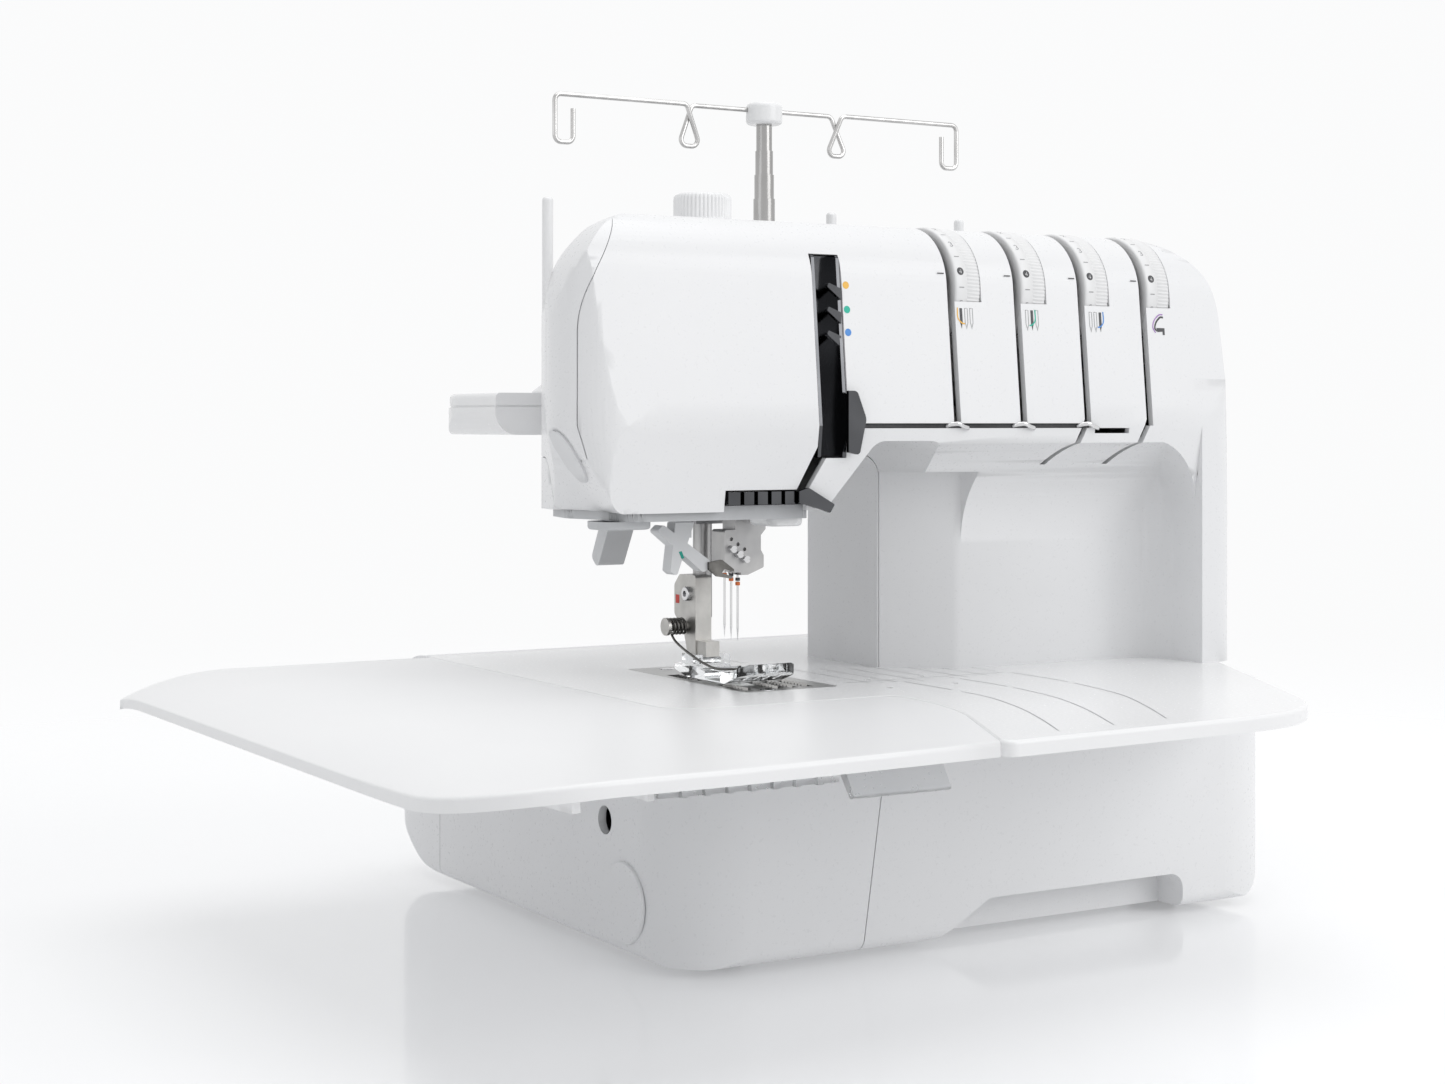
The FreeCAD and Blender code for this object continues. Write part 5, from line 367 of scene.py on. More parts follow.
def stroke(line, width):
    """Flat ribbon along a plane line: l(s) +- width / 2 n(s), n being square to the line."""
    line = np.asarray(line, float)
    run = np.gradient(line, axis=0)
    run /= np.linalg.norm(run, axis=1)[:, None] + 1e-9
    half = np.stack([-run[:, 1], run[:, 0]], 1) * width / 2
    return np.stack([line + half, line - half], 1).reshape(-1, 2), sheet_faces(len(line), 2)


def disc(x, y, radius, count=40):
    """Flat disc as a fan: (x + r cos a, y + r sin a) round its middle."""
    a = ring_angles(count)
    rim = np.stack([x + radius * np.cos(a), y + radius * np.sin(a)], 1)
    i = np.arange(count)
    return np.vstack([[(x, y)], rim]), np.stack([0 * i, i + 1, (i + 1) % count + 1], 1).tolist()


def slab(outline):
    """Filled plane outline."""
    return np.asarray(outline, float), [list(range(len(outline)))]


def arc(x, y, rx, ry, start, end, count=14):
    """Part of an ellipse from start to end, in degrees."""
    a = np.radians(np.linspace(start, end, count))
    return np.stack([x + rx * np.cos(a), y + ry * np.sin(a)], 1)


def printed(name, shapes, surface, material, body, slot="white_shell"):
    """Plane shapes laid on a surface: (u, v) -> surface(u, v)."""
    points, faces = gather(shapes)
    return piece(name, surface(points[:, 0], points[:, 1]), faces, material, body, slot, smooth=False)


# %% [markdown]
# ## Softer table end and head
#
# Two mouldings swell in two directions at once, and a solid that is cut from outlines cannot follow them: the
# table's left end, which dips a little along its side and curls down at the back corner, and the head's left
# end, whose top and foot round over. A lattice or sculpting could bend them, but would need fitting by hand.
# Here a copy of the solid's own mesh is cut into narrow strips, so that it can bend, and one formula moves all
# its points. The covers share one formula, so their seams stay even.

# %% Bent copies of the solids
SHARP_FROM = math.radians(28)


def bent(node, cuts, bend, material, body):
    """Merged copy of a node, cut along planes across X, Y and Z (needle mm), with its points moved by `bend`."""
    work = bmesh.new()
    work.from_mesh(nodes[node].data)
    bmesh.ops.remove_doubles(work, verts=work.verts, dist=1e-6)
    for axis, places in enumerate(cuts):
        for place in places:
            point, normal = np.zeros(3), np.zeros(3)
            point[axis], normal[axis] = place, 1.0
            bmesh.ops.bisect_plane(work, geom=[*work.verts, *work.edges, *work.faces], dist=1e-7,
                                   plane_co=to_frame(point), plane_no=normal)
    mesh = bpy.data.meshes.new(f"{node}_form")
    work.to_mesh(mesh)
    work.free()
    flat = np.empty(3 * len(mesh.vertices))
    mesh.vertices.foreach_get("co", flat)
    mesh.vertices.foreach_set("co", to_frame(bend(flat.reshape(-1, 3) * MM + SHIFT)).ravel())
    mesh.polygons.foreach_set("use_smooth", [True] * len(mesh.polygons))
    mesh.set_sharp_from_angle(angle=SHARP_FROM)
    mesh.materials.clear()
    mesh.materials.append(material)
    made = bpy.data.objects.new(f"{node}_form", mesh)
    bpy.context.scene.collection.objects.link(made)
    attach(made, body)
    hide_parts(node)
    print(made.name, len(mesh.polygons), "faces")
    return made


# %% [markdown]
# ### The table's left end
#
# The solid falls away evenly to the left, as a cylinder would, and its front corner is a wide round. The real
# table is flatter there and its corner tighter. The formula keeps only part of the fall, and pushes the corner
# outwards from a circle to a square with round corners.

# %% Table end
FALL_FROM, FALL_R, FALL_REACH = -144.6, 73.0, 50.0
CORNER_X, CORNER_Y, CORNER_R, CORNER_TIGHT = -114.0, -110.2, 76.0, 0.55
EDGE_X, EDGE_Y, EDGE_SLOPE = -190.0, -192.0, 13.0 / 177.0
KEEP_SIDE, KEEP_BACK, CURL_FROM, CURL_RUN = 0.38, 0.45, 90.0, 50.0
RIM_THIN, RIM_FALL = 0.4, 16.0


def fall(x):
    """Fall of the solid's end: d(x) = R - sqrt(R^2 - (x0 - x)^2) left of x0."""
    return FALL_R - np.sqrt(FALL_R ** 2 - np.clip(FALL_FROM - x, 0.0, FALL_REACH) ** 2)


def corner_push(u, v):
    """How far a point of the unit circle's corner moves out, to a unit square whose corners have a round of TIGHT.

    With f = 1 - TIGHT and (c, s) the way out: 1 / max(c, s) on the straight sides, and on the round
    f (c + s) + sqrt(f^2 (c + s)^2 - 2 f^2 + TIGHT^2). Outside the corner it is 1.
    """
    r = np.maximum(np.hypot(u, v), 1e-9)
    c, s, f = u / r, v / r, 1.0 - CORNER_TIGHT
    most, least = np.maximum(c, s), np.minimum(c, s)
    inside = np.maximum(f ** 2 * (c + s) ** 2 - 2 * f ** 2 + CORNER_TIGHT ** 2, 0.0)
    push = np.where(least <= f * most, 1.0 / np.maximum(most, 1e-9), f * (c + s) + np.sqrt(inside))
    return np.where((u > 0) & (v > 0), push, 1.0)


def table_end(points):
    """Table: the front corner is drawn out to a tighter round, and only part k(y) of the fall d(x) is kept.

    z' = top - h q(x) - k(y') d(x'), where h is the depth below the solid's own top, q = 1 - 0.4 d(x) / 16 makes
    the rim thinner, and k goes from 0.38 up to 0.83 with the cube of the way from y = 90 to y = 140.
    """
    x, y, z = points.T
    deep = CORNER_Y - (EDGE_Y + (x - EDGE_X) * EDGE_SLOPE)
    u, v = np.maximum(CORNER_X - x, 0.0) / CORNER_R, np.maximum(CORNER_Y - y, 0.0) / deep
    push = corner_push(u, v)
    new_x = np.where(push > 1, CORNER_X - u * push * CORNER_R, x)
    new_y = np.where(push > 1, CORNER_Y - v * push * deep, y)
    keep = KEEP_SIDE + KEEP_BACK * np.clip((new_y - CURL_FROM) / CURL_RUN, 0.0, 1.0) ** 3
    depth = (BED_Z - z - fall(x)) * (1.0 - RIM_THIN * fall(x) / RIM_FALL)
    return np.column_stack([new_x, new_y, BED_Z - depth - keep * fall(new_x)])


TABLE_CUTS = (np.arange(-188, -100, 4), [*np.arange(-188, -100, 6), *np.arange(88, 136, 6)], [])
bent("extension_table", TABLE_CUTS, table_end, table_white, "table")

# %% [markdown]
# ### The head's left end
#
# The left wall of the head leans, and the top edge rolls over it as a quarter of an ellipse. Distance behind
# the wall is what both the roll and the drawn-in foot depend on, so it is worked out first.

# %% Head end
WALL_AT, WALL_N = np.array([-106.6, -40.0]), np.array([0.8456, -0.5339])
ROLL_DEEP, ROLL_HIGH = 36.0, 34.0
SOLID_R, SOLID_X, SOLID_REACH, DROP_FROM = 38.0, -50.0, 37.9, 190.0
DRAW_ALL, DRAW_FOOT, FOOT_RUN = 6.0, 9.0, 30.5
DRAW_BACK, DRAW_RUN, DRAW_DEEP = 30.0, 40.0, 45.0


def head_end(points):
    """Head: the top drops to an ellipse over the left wall, and the wall's front half draws in, more at the foot.

    s = (p - wall) . n is the depth behind the wall. New top: zt(s) = 258 - h + h sqrt(1 - (1 - s / d)^2), with the
    roll's height h and depth d. Old top: z0(x), a round of 38. All above z = 190 drops in proportion,
    z' = z - max(0, z0 - zt) (z - 190) / (z0 - 190), and x' = x + o (1 - s / 45) / nx, o being the draw.
    """
    x, y, z = points.T
    s = (points[:, :2] - WALL_AT) @ WALL_N
    near = np.clip(1.0 - s / ROLL_DEEP, 0.0, 1.0)
    top = ARM_TOP - ROLL_HIGH + ROLL_HIGH * np.sqrt(1.0 - near ** 2)
    solid = ARM_TOP - SOLID_R + np.sqrt(SOLID_R ** 2 - np.clip(SOLID_X - x, 0.0, SOLID_REACH) ** 2)
    share = np.clip((z - DROP_FROM) / (solid - DROP_FROM), 0.0, 1.0)
    new_z = z - np.maximum(solid - top, 0.0) * share
    draw = DRAW_ALL + DRAW_FOOT * np.clip((BREAK_Z - z) / FOOT_RUN, 0.0, 1.0)
    draw = draw * np.clip((DRAW_BACK - y) / DRAW_RUN, 0.0, 1.0)
    new_x = x + draw * np.clip(1.0 - s / DRAW_DEEP, 0.0, 1.0) / WALL_N[0]
    return np.column_stack([new_x, y, new_z])


HEAD_CUTS = (np.arange(-100, 2, 5), np.arange(-36, 36, 6), [*np.arange(156, 184, 6), *np.arange(192, 257, 5)])
for cover in ("front_cover", "side_cover", "rear_cover"):
    bent(cover, HEAD_CUTS, head_end, white, "machine")
bent("thread_cutter", HEAD_CUTS, head_end, pale_grey, "machine")
bent("underside_plate", HEAD_CUTS, head_end, grey, "machine")

# %% [markdown]
# ## Ribbed tension dials
#
# A thumb turns each tension dial by its edge, so the right half of the edge is ribbed. The dial is its solid's
# own profile turned about the spindle, and the ribbed rows lose a little radius between the ribs,
# `r(a) = r - 0.42 (1 - |cos 55 a|)`: the absolute cosine gives 110 rounded ribs with sharp grooves. An array of
# small rods would look alike, but would leave loose pieces.

# %% Tension dials
RIBS, RIB_DEEP, RIB_POINTS = 110, 0.42, 6
DIAL_BORE, DIAL_IN = 3.06, 2.2


def dial(number, x):
    """Closed profile (r, w, f) turned about the spindle: r(a) = r - f 0.42 (1 - |cos 55 a|)."""
    rim, w = DIAL_R, DIAL_W
    profile = np.array([
        (DIAL_BORE, w, 0), (7, w, 0), (8, w - 2, 0), (rim - 4, w - 2, 0), (rim - 3, w, 0), (rim - 0.8, w, 0),
        (rim - 0.23, w - 0.23, 0.7), (rim, w - 0.8, 1), (rim, 5.7, 1), (rim - 0.25, 5.5, 0), (rim - 0.25, 5.2, 0),
        (rim, 5.0, 0), (rim, 0.8, 0), (rim - 0.23, 0.23, 0), (rim - 0.8, 0, 0), (rim - 4, 0, 0),
        (rim - 5, 0.8, 0), (DIAL_BORE, 0.8, 0)])
    r, along, ribbed = profile.T[:, :, None]
    a = ring_angles(RIB_POINTS * RIBS)
    ring = r - ribbed * RIB_DEEP * (1 - np.abs(np.cos(RIBS / 2 * a)))
    points = np.stack([np.broadcast_to(x + DIAL_IN + along, ring.shape),
                       DIAL_Y - ring * np.cos(a), DIAL_Z + ring * np.sin(a)], -1).reshape(-1, 3)
    made = piece(f"ribbed_dial_{number}", points, sheet_faces(*ring.shape, True, True), dial_white,
                 f"dial_{number}", "white_shell")
    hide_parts(f"tension_dial_{number}")
    return made


print(RIBS, "ribs on each dial")

# %% [markdown]
# ## Numbers on the dials
#
# The left half of the edge carries the numbers 0 to 9 with a tick between them, and the usual setting, 4, stands
# white in a dark disc. The numbers are drawn as strokes: a font would do too, but strokes keep the width of the
# pen. The print is wound round the dial, so its height is an arc length.

# %% Dial numbers
DIGITS = {
    0: [arc(.3, .5, .27, .47, 90, 450, 24)],
    1: [[(.1, .76), (.34, .97), (.34, .03)]],
    2: [np.vstack([arc(.3, .68, .27, .29, 165, -35), [(.05, .03), (.58, .03)]])],
    3: [arc(.27, .74, .25, .23, 150, -85), arc(.27, .27, .28, .24, 85, -150)],
    4: [[(.46, .03), (.46, .97), (.03, .3), (.62, .3)]],
    5: [np.vstack([[(.53, .96), (.12, .96), (.08, .54)], arc(.28, .32, .27, .29, 130, -150)])],
    6: [np.vstack([[(.47, .96)], arc(.34, .3, .3, .6, 130, 180, 6), arc(.3, .3, .26, .27, 180, 540, 22)])],
    7: [[(.04, .96), (.57, .96), (.22, .03)]],
    8: [arc(.3, .74, .22, .22, -90, 270, 22), arc(.3, .27, .27, .25, 90, 450, 22)],
    9: [np.vstack([[(.13, .04)], arc(.26, .7, .3, .6, -50, 0, 6), arc(.3, .7, .26, .27, 0, 360, 22)])],
}
USUAL, SCALE_IN, TICK_HALF = 4, 4.9, 1.1
STEP, USUAL_V = math.radians(28.5) * DIAL_R, math.radians(16) * DIAL_R


def digit(value, x, y, size, width):
    """A plain number drawn as strokes, centred on (x, y)."""
    corner = (x - 0.3 * size, y - 0.5 * size)
    return [stroke(np.asarray(line) * size + corner, width) for line in DIGITS[value]]


def on_dial(u, v, lift=0.05):
    """Print on a dial: v is arc length up from the front, p = axis - (R + lift) (cos v/R, -sin v/R)."""
    turn, r = np.asarray(v) / DIAL_R, DIAL_R + lift
    return np.stack([u, DIAL_Y - r * np.cos(turn), DIAL_Z + r * np.sin(turn)], 1)


def over_dial(u, v):
    """The same, one print layer higher."""
    return on_dial(u, v, 0.1)


def scale(middle):
    """All numbers but the usual one, and the ticks between them."""
    shapes = []
    for value in range(10):
        v = USUAL_V + STEP * (USUAL - value)
        if value != USUAL:
            shapes += digit(value, middle, v, 2.5, 0.34)
        if value < 9:
            shapes.append(stroke([(middle - TICK_HALF, v - STEP / 2), (middle + TICK_HALF, v - STEP / 2)], 0.36))
    return shapes


for number, x in enumerate(CHANNELS, start=1):
    dial(number, x)
    middle, body = x + SCALE_IN, f"dial_{number}"
    printed(f"dial_scale_{number}", scale(middle), on_dial, fine_ink, body)
    printed(f"dial_disc_{number}", [disc(middle, USUAL_V, 1.5)], on_dial, ink, body)
    printed(f"dial_four_{number}", digit(USUAL, middle, USUAL_V, 1.7, 0.2), over_dial, bright, body)
print(len(CHANNELS), "ribbed dials with scales")

# %% [markdown]
# ## Prints on the arm: threading pictograms, ticks and colour dots
#
# Beside each thread channel a small pictogram shows where its thread goes: three needles with one filled, or the
# looper, and the thread in its own colour. The pictograms are generic. The arm's face leans, so the mapping asks
# `front_y` for the depth at each height.

# %% Arm prints
NEEDLE_LOW, NEEDLE_HIGH, NEEDLE_IN, NEEDLE_STEP = 219.3, 227.0, 4.2, 2.35
THREAD_COLOURS = ("yellow", "green", "blue", "violet")


def on_arm(u, v, lift=0.06):
    """Print on the arm's leaning front face, `lift` mm proud."""
    return np.stack([u, front_y(v) - lift, v], 1)


def over_arm(u, v):
    """The same, one print layer higher."""
    return on_arm(u, v, 0.1)


def needle_shape(x, low, high):
    """Outline of a needle: shank, shoulders, blade."""
    half, blade, shoulder = 0.62, 0.3, low + 0.3 * (high - low)
    return [(x - half, high), (x - half, shoulder), (x - blade, shoulder - 0.9), (x, low),
            (x + blade, shoulder - 0.9), (x + half, shoulder), (x + half, high), (x - half, high)]


def needle_pictogram(number, x):
    """Outlines of the other needles, the filled one, and the thread that comes down beside it."""
    places = [x + NEEDLE_IN + NEEDLE_STEP * n for n in range(3)]
    shapes = [needle_shape(place, NEEDLE_LOW, NEEDLE_HIGH) for place in places]
    filled, at = shapes.pop(number - 1), places[number - 1]
    start, end = (at - 1.5, at + 1.6) if number == 1 else (at + 1.5, at - 1.4)
    thread = [(start, NEEDLE_HIGH + 0.2), (start, 223.4), ((start + end) / 2, 221.6), (end, 221.2)]
    return [stroke(shape, 0.26) for shape in shapes], [slab(filled[:-1])], stroke(smooth_path(thread, 6), 0.5)


def looper_pictogram(x):
    """The looper's foot and hook, with the thread round it."""
    foot = [(6.6, 220.0), (9.2, 220.2), (9.2, 218.9), (10.3, 218.9), (10.3, 221.6), (6.2, 221.6)]
    hook = [(9.9, 225.8), (8.2, 225.7), (6.2, 223.8), (5.4, 221.6), (6.4, 220.4)]
    thread = [(9.7, 226.9), (7.6, 226.6), (5.2, 224.4), (4.4, 221.8), (5.6, 219.7)]
    foot, hook, thread = (np.array(line) + (x, 0) for line in (foot, hook, thread))
    return [], [slab(foot), stroke(smooth_path(hook, 8), 0.75)], stroke(smooth_path(thread, 8), 0.5)


for number, x in enumerate(CHANNELS, start=1):
    thin, solid, thread = needle_pictogram(number, x) if number < 4 else looper_pictogram(x)
    if thin:
        printed(f"pictogram_outline_{number}", thin, on_arm, fine_ink, "machine")
    printed(f"pictogram_fill_{number}", solid, on_arm, ink, "machine")
    printed(f"pictogram_thread_{number}", [thread], over_arm, INKS[THREAD_COLOURS[number - 1]], "machine")
ticks = [stroke([(x - 5.6, 239.7), (x - 2.6, 239.7)], 0.42) for x in CHANNELS]
printed("index_ticks", ticks, on_arm, ink, "machine")
for colour, z in (("yellow", 234.0), ("green", 225.2), ("blue", 217.0)):
    printed(f"thread_dot_{colour}", [disc(26.9, z, 1.35)], on_arm, INKS[colour], "machine")
print("pictograms, ticks and dots on the arm")

# %% [markdown]
# ## Seam guide lines on bed and table
#
# Fine grey lines help to keep the cloth's edge at an even distance from the needles. Three of them sweep on over
# the gap to the table. Each sweep is one curve, parted at the gap, so that both halves meet in line and each
# rides on its own body.

# %% Guide lines
PRINT_Z, GAP_BED, GAP_TABLE = BED_Z + 0.05, -65.6, -68.6
CURVES = [
    [(53.2, -34), (53.2, -58), (51.4, -86), (42.6, -115), (30.6, -142), (17.2, -168)],
    [(77.0, -36), (76.9, -58), (75.1, -78), (69.0, -105), (57.1, -134), (40.8, -166)],
    [(105.8, -30), (105.6, -54), (102.7, -76), (95.0, -106), (81.0, -135), (65.8, -162)],
]
RULES = [(40.4, 22, -31), (50.6, 18, -33), (60.8, 14, -36), (71.0, 20, -20), (82.4, 13, -34), (92.6, 7.5, -33),
         (103.6, 1.2, -22.5)]
DASHES = [(45.5, -31), (55.7, -33.2), (65.9, -31), (76.7, -31.5), (87.5, -31), (98, -29.4)]


def on_bed(u, v):
    """Print on the flat bed and table, 0.05 mm proud."""
    return np.stack([u, v, np.full_like(np.asarray(u, float), PRINT_Z)], 1)


sweeps = [smooth_path(corners, 14) for corners in CURVES]
bed_lines = [stroke(sweep[sweep[:, 1] > GAP_BED], 0.42) for sweep in sweeps]
table_lines = [stroke(sweep[sweep[:, 1] < GAP_TABLE], 0.42) for sweep in sweeps]
bed_lines += [stroke([(x, back), (x, front)], 0.28) for x, back, front in RULES]
bed_lines.append(stroke([(33, -26.6), (104, -26.6)], 0.28))
bed_lines += [stroke([(x - 1.2, y), (x + 1.2, y)], 0.3) for x, y in DASHES]
printed("bed_guide_lines", bed_lines, on_bed, fine_ink, "machine")
printed("table_guide_lines", table_lines, on_bed, fine_ink, "table")
print(len(bed_lines), "lines on the bed,", len(table_lines), "on the table")

# %% [markdown]
# ## Needle area: coloured bands, marks and the spring's arm
#
# Coloured bands tell the needles apart; they are short sleeves on the shanks, swelling slightly as paint does. A
# green mark shows where the threader is pulled, a red one where the foot snaps on. The spring's free arm runs
# from the coil down along the clear foot, as one bent wire, and tilts with the foot.

# %% Needle area
def band(x, low, high, radius, rows=5, columns=20):
    """A short sleeve r(z) = radius (1 + 0.06 sin(pi t)) round a needle, t going from 0 to 1 up the sleeve."""
    t, a = np.linspace(0, 1, rows)[:, None], ring_angles(columns)
    r = radius * (1 + 0.06 * np.sin(math.pi * t))
    z = np.broadcast_to(low + t * (high - low), (rows, columns))
    points = np.stack([x + r * np.cos(a), r * np.sin(a), z], -1).reshape(-1, 3)
    return points, sheet_faces(rows, columns, wrap_columns=True)


def mark(name, corners, out, material, body, slot):
    """A small raised pad: a plane outline lifted by `out`, its rim drawn in by a tenth, closed underneath."""
    base = np.asarray(corners, float)
    middle, n = base.mean(0), len(base)
    top = middle + (base - middle) * 0.9 + np.asarray(out, float)
    faces = sheet_faces(2, n, wrap_columns=True) + [list(range(n, 2 * n)), list(range(n))[::-1]]
    return piece(name, np.vstack([base, top]), faces, material, body, slot, smooth=False)


BAND_R = 0.84
BANDS = ((-2.8, 129.1, None), (0.0, 127.3, 128.9), (2.8, 125.6, 127.2))
for number, (x, orange, dark) in enumerate(BANDS, start=1):
    piece(f"needle_band_{number}", *band(x, orange - 0.65, orange + 0.65, BAND_R), INKS["orange"],
          "needle_group", "steel")
    if dark:
        piece(f"needle_ring_{number}", *band(x, dark - 0.55, dark + 0.55, BAND_R), ink, "needle_group", "steel")
mark("threader_mark", [(-27.0, -11, 136.0), (-25.9, -11, 136.4), (-27.0, -11, 138.9), (-28.2, -11, 138.6)],
     (0, -0.12, 0), INKS["teal"], "threader", "white_shell")
mark("ankle_mark", [(-7, 26.2, 120.2), (-7, 28.9, 120.2), (-7, 28.9, 117.0), (-7, 26.2, 117.0)],
     (-0.15, 0, 0), INKS["red"], "presser_group", "steel")
SPRING_ARM = [(-13.2, 21.0, 105.9), (-12.9, 18.5, 103.6), (-12.6, 12.0, 100.9), (-12.4, 2.0, 98.0),
              (-12.2, -6.5, 96.4), (-10.4, -9.4, 95.8), (-6.0, -11.6, 95.7), (-1.5, -12.9, 95.8),
              (1.6, -13.4, 96.3)]
piece("foot_spring_arm", *tube(smooth_path(SPRING_ARM, 8), 0.45), dark_spring, "foot", "dark_chrome")
print("bands, marks and the spring's arm")

# %% [markdown]
# ## Fluted pressure knob
#
# The knob on top of the head sets how hard the foot presses. Its grip has 44 flutes, made as the dials' ribs
# are: `r(a) = r - 0.55 (1 - |cos 22 a|)` on the rows of the grip. The two flat ends close in a fan to a pole.

# %% Knob
def flutes(profile, poles, axis, count, deep):
    """Profile (r, z, f) turned about Z: r(a) = r - f deep (1 - |cos(count a / 2)|), with a fan to each pole."""
    r, z, fluted = np.array(profile, float).T[:, :, None]
    a = ring_angles(12 * count)
    ring = r - fluted * deep * (1 - np.abs(np.cos(count * a / 2)))
    rows = np.stack([axis[0] + ring * np.cos(a), axis[1] + ring * np.sin(a), np.broadcast_to(z, ring.shape)], -1)
    j = np.arange(len(a))
    after, last, low = (j + 1) % len(a), ring.size - len(a), ring.size
    fans = [np.stack([low + 0 * j, after, j], 1), np.stack([low + 1 + 0 * j, last + j, last + after], 1)]
    points = np.vstack([rows.reshape(-1, 3), [(*axis, pole) for pole in poles]])
    return points, sheet_faces(*ring.shape, wrap_columns=True) + np.vstack(fans).tolist()


GRIP = [(3.95, 244.2, 0), (3.95, 258.3, 0), (10.6, 258.3, 0), (10.9, 258.7, 0), (10.9, 260.6, 0), (10.9, 261.0, 1),
        (10.9, 267.9, 1), (10.75, 268.8, 0.6), (10.2, 269.6, 0), (9.4, 270.0, 0)]
knob = piece("ribbed_knob", *flutes(GRIP, (244.2, 270.0), (0.0, 21.0), 44, 0.55), bright, "knob", "white_shell")
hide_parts("pressure_knob")
print("knob:", len(knob.data.polygons), "faces")

# %% [markdown]
# ## Thread hooks and slot liner
#
# Small fittings that finish the front: three flat wire hooks under the thread channels, and a near-black sheet in
# the long slot. The sheet closes what would look like a hole into the arm, and its colour is painted shade.

# %% Small fittings
HOOK = np.array([(-4.4, -38.6, 183.3), (-3.2, -40.4, 184.0), (-0.6, -41.5, 184.2), (1.6, -41.3, 183.2),
                 (4.4, -40.5, 182.6), (5.0, -38.6, 182.9)])
for number, x in enumerate(CHANNELS[:3], start=1):
    line = smooth_path(HOOK + (x, 0, 0), 7)
    piece(f"thread_hook_{number}", *tube(line, 0.55, flat=1.5), chrome, "machine", "chrome")


def trough(left, right, z, half, back):
    """Bottom sheet of a slot, which carries the painted shade: y = back + 0.5 (1 - (dz / half)^2), swept along X.
    """
    along, dz = np.meshgrid(np.linspace(left, right, 16), np.linspace(half, -half, 7), indexing="ij")
    points = np.stack([along, back + 0.5 * (1 - (dz / half) ** 2), z + dz], -1)
    return points.reshape(-1, 3), sheet_faces(*along.shape)


# Painted shade: a near-black sheet just behind the slot's mouth stands in for the shade inside the slot.
piece("level_slot_painted_shade", *trough(29.2, 135.8, 183.5, 0.85, FRONT_Y + 1.1), slot_shade, "machine", "black_rubber")
print("hooks and liner")

# %% [markdown]
# ## Pads under the head
#
# A frosted lens covers the lamp over the needles, and a grey pad sits further left. Both are moulded: a rounded
# rectangle whose lower edge closes in by a quarter ellipse. A cube with a bevel would do for one, but the rings
# keep the corner and the edge apart, each with its own radius. The upper rim, against the plate, stays open.

# %% Pads
def cushion(low, high, corner, edge, sides=10, rings=6):
    """Rounded rectangles whose corner radius shrinks as z falls: inset = e (1 - cos t), z = z0 + e (1 - sin t)."""
    (x0, y0, z0), (x1, y1, z1) = low, high
    t = np.linspace(0, math.pi / 2, rings)
    r = np.maximum(corner - np.r_[0, edge * (1 - np.cos(t))], 0.3)[:, None]
    z = np.r_[z1, z0 + edge * (1 - np.sin(t))][:, None]
    quarter = np.repeat(np.arange(4), sides)
    a = np.tile(np.linspace(0, math.pi / 2, sides), 4) + quarter * math.pi / 2
    cx = np.where((quarter == 0) | (quarter == 3), x1 - corner, x0 + corner)
    cy = np.where(quarter < 2, y1 - corner, y0 + corner)
    count = len(a)
    grid = np.stack([cx + r * np.cos(a), cy + r * np.sin(a), np.broadcast_to(z, (rings + 1, count))], -1)
    cap = list(range(rings * count, (rings + 1) * count))
    return grid.reshape(-1, 3), sheet_faces(rings + 1, count, wrap_columns=True) + [cap]


for name, low, high, corner, edge, material, slot in (
        ("lamp_pad", (-1.0, -29.8, 147.6), (13.6, -12.0, 150.5), 4.0, 1.6, frosted_pad, "clear_plastic"),
        ("left_pad", (-66.5, -27.0, 147.6), (-46.0, -10.0, 150.5), 6.0, 1.2, grey, "grey_plate")):
    pad = piece(name, *cushion(low, high, corner, edge), material, "machine", slot)
    print(name, len(pad.data.polygons), "faces")

# %% [markdown]
# ## Switch marks
#
# The power switch on the right side is a rocker with the usual line and ring for on and off. Its two faces meet
# at an angle, so the mapping bends the print at the rocker's middle.

# %% Switch marks
ROCKER_X, ROCKER_MIDDLE, ROCKER_RISE, ROCKER_HALF = 213.66, 96, 2.0, 8.6


def on_rocker(u, v):
    """Print on the power switch's two faces: u along the wall, v up; the front face rises evenly by 2 mm."""
    u = np.asarray(u)
    out = ROCKER_X + np.where(u < ROCKER_MIDDLE, ROCKER_RISE * (ROCKER_MIDDLE - u) / ROCKER_HALF, 0)
    return np.stack([out, u, v], 1)


signs = [stroke([(100.4, 44.6), (100.4, 49.4)], 0.6), stroke(arc(91.4, 47, 1.9, 2.3, 0, 360, 30), 0.55)]
printed("switch_marks", signs, on_rocker, bright, "switch", "black_rubber")
print("line and ring on the switch")

# %% [markdown]
# ## Floor
#
# The machine stands on a pale, glossy floor that fades out into the surround, as on a studio's sweep. A curved
# backdrop would do as well, but it would be in the way when the view turns round the machine, so the sheet's
# alpha falls with distance instead. A weak glow of its own keeps the sheet close to the surround's white.

# %% Floor
FLOOR_Z, FADE_FROM, FADE_TO = -0.0004, 0.25, 1.3


def fade_out(material):
    """Alpha goes smoothly from 1 at FADE_FROM metres from the middle to 0 at FADE_TO."""
    tree = material.node_tree
    coords = tree.nodes.new("ShaderNodeTexCoord")
    length = tree.nodes.new("ShaderNodeVectorMath")
    length.operation = "LENGTH"
    tree.links.new(coords.outputs["Object"], length.inputs[0])
    fade = tree.nodes.new("ShaderNodeMapRange")
    fade.interpolation_type = "SMOOTHSTEP"
    for name, value in (("From Min", FADE_FROM), ("From Max", FADE_TO), ("To Min", 1.0), ("To Max", 0.0)):
        fade.inputs[name].default_value = value
    tree.links.new(length.outputs["Value"], fade.inputs["Value"])
    tree.links.new(fade.outputs["Result"], tree.nodes["Principled BSDF"].inputs["Alpha"])


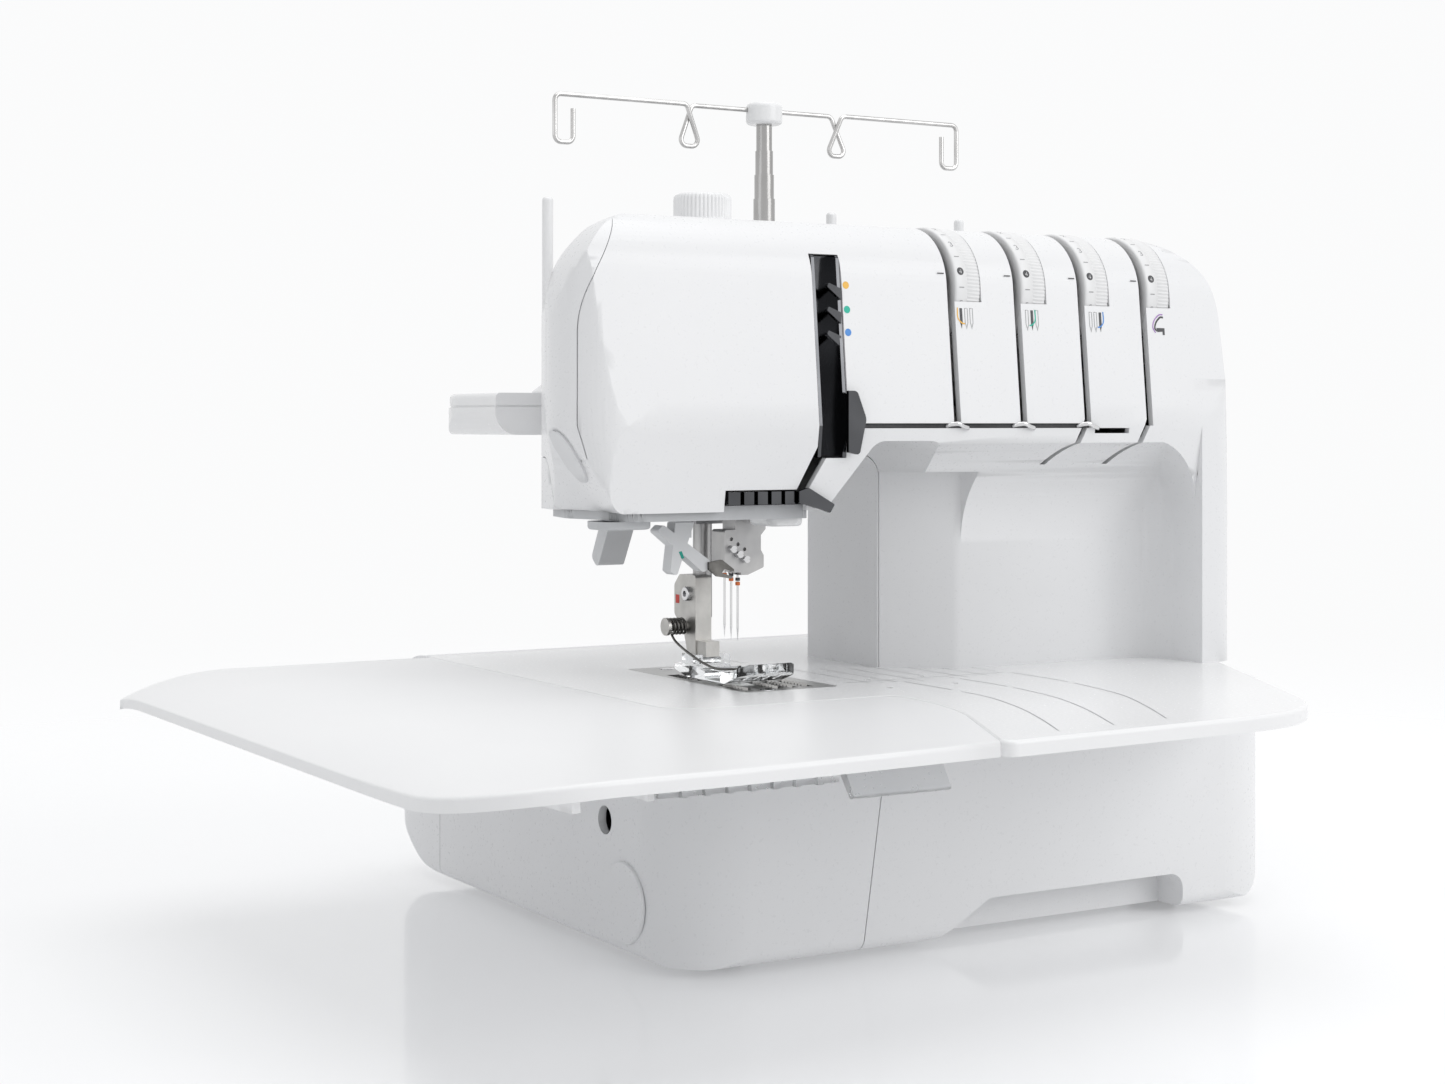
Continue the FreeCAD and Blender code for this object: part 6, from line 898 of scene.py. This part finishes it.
def floor_sheet(material, reach=4.0, cells=24):
    """A flat sheet, 0.4 mm under the rubber feet."""
    line = np.linspace(-reach, reach, cells)
    grid = np.stack([*np.meshgrid(line, line), np.full((cells, cells), FLOOR_Z)], -1).reshape(-1, 3)
    mesh = bpy.data.meshes.new("floor")
    mesh.from_pydata(grid.tolist(), [], sheet_faces(cells, cells))
    mesh.materials.append(material)
    made = bpy.data.objects.new("floor", mesh)
    bpy.context.scene.collection.objects.link(made)
    return made


pale_floor = grained("pale_floor", (0.72, 0.724, 0.73), (0.74, 0.743, 0.748), (0.08, 0.12), 200, 0.0, slow=2.0,
                     Specular_IOR_Level=0.3, Emission_Color=(0.98, 0.985, 1.0, 1.0), Emission_Strength=0.2)
fade_out(pale_floor)
floor_sheet(pale_floor)
print("floor fades out from", FADE_FROM, "to", FADE_TO, "m")

# %% [markdown]
# ## Light
#
# White plastic on white needs large, soft lights, or its edges vanish: a broad key from the front right, a
# large one from above, and a weak fill from the left that is slightly cool. The surround gives even light, and a
# brighter version of it is shown only to the camera, in reflections and through clear pieces.

# %% Lamps
def softbox(name, place, target, size, power, colour=(1, 1, 1)):
    """A square area light at `place` that faces `target`."""
    lamp = bpy.data.lights.new(name, "AREA")
    lamp.shape, lamp.size, lamp.energy, lamp.color = "SQUARE", size, power, colour
    holder = bpy.data.objects.new(name, lamp)
    bpy.context.scene.collection.objects.link(holder)
    ahead = np.asarray(target, float) - np.asarray(place, float)
    holder.location = place
    holder.rotation_euler = (math.acos(-ahead[2] / np.linalg.norm(ahead)), 0, math.atan2(-ahead[0], ahead[1]))
    return holder


softbox("key_front_right", (0.9, -1.5, 1.0), (0, 0, 0.12), 1.2, 11.5)
softbox("top", (0.0, 0.0, 1.7), (0, 0, 0), 1.6, 10.5)
softbox("left_fill", (-1.7, -0.1, 0.7), (0, 0, 0.1), 1.0, 1.6, (0.96, 0.98, 1))
print(len(bpy.data.lights), "lamps")

# %% Surround
world = bpy.data.worlds.new("studio")
bpy.context.scene.world = world
world.use_nodes = True
tree = world.node_tree
surround = tree.nodes["Background"]
surround.inputs["Color"].default_value = (0.985, 0.99, 1.0, 1)
surround.inputs["Strength"].default_value = 0.6
seen = tree.nodes.new("ShaderNodeBackground")
seen.inputs["Color"].default_value = (0.965, 0.967, 0.97, 1)
path = tree.nodes.new("ShaderNodeLightPath")
shown = path.outputs["Is Camera Ray"]
for ray in ("Is Glossy Ray", "Is Transmission Ray"):
    either = tree.nodes.new("ShaderNodeMath")
    either.operation = "MAXIMUM"
    tree.links.new(shown, either.inputs[0])
    tree.links.new(path.outputs[ray], either.inputs[1])
    shown = either.outputs["Value"]
mix = tree.nodes.new("ShaderNodeMixShader")
tree.links.new(shown, mix.inputs["Fac"])
tree.links.new(surround.outputs["Background"], mix.inputs[1])
tree.links.new(seen.outputs["Background"], mix.inputs[2])
tree.links.new(mix.outputs["Shader"], tree.nodes["World Output"].inputs["Surface"])
print("surround set")

# %% [markdown]
# ## Camera
#
# The camera stands where the photograph was taken from: level, 184.5 mm above the floor, turned 30.5 degrees. A
# level camera keeps upright edges upright, so the picture is shifted down rather than the camera tilted.

# %% Camera
SENSOR, PICTURE_WIDE, FOCAL, SHIFT_DOWN = 36.0, 1445.0, 2300.0, 119.0
lens = bpy.data.cameras.new("photo_camera")
lens.sensor_fit, lens.sensor_width = "HORIZONTAL", SENSOR
lens.lens = SENSOR * FOCAL / PICTURE_WIDE
lens.shift_y = -SHIFT_DOWN / PICTURE_WIDE
camera = bpy.data.objects.new("photo_camera", lens)
bpy.context.scene.collection.objects.link(camera)
camera.location = to_frame((-430.3, -724.3, 184.5))
camera.rotation_euler = (math.radians(90), 0, math.radians(-30.5))
bpy.context.scene.camera = camera
bpy.context.scene.view_settings.view_transform = "Standard"
print("camera with a", round(lens.lens, 1), "mm lens")
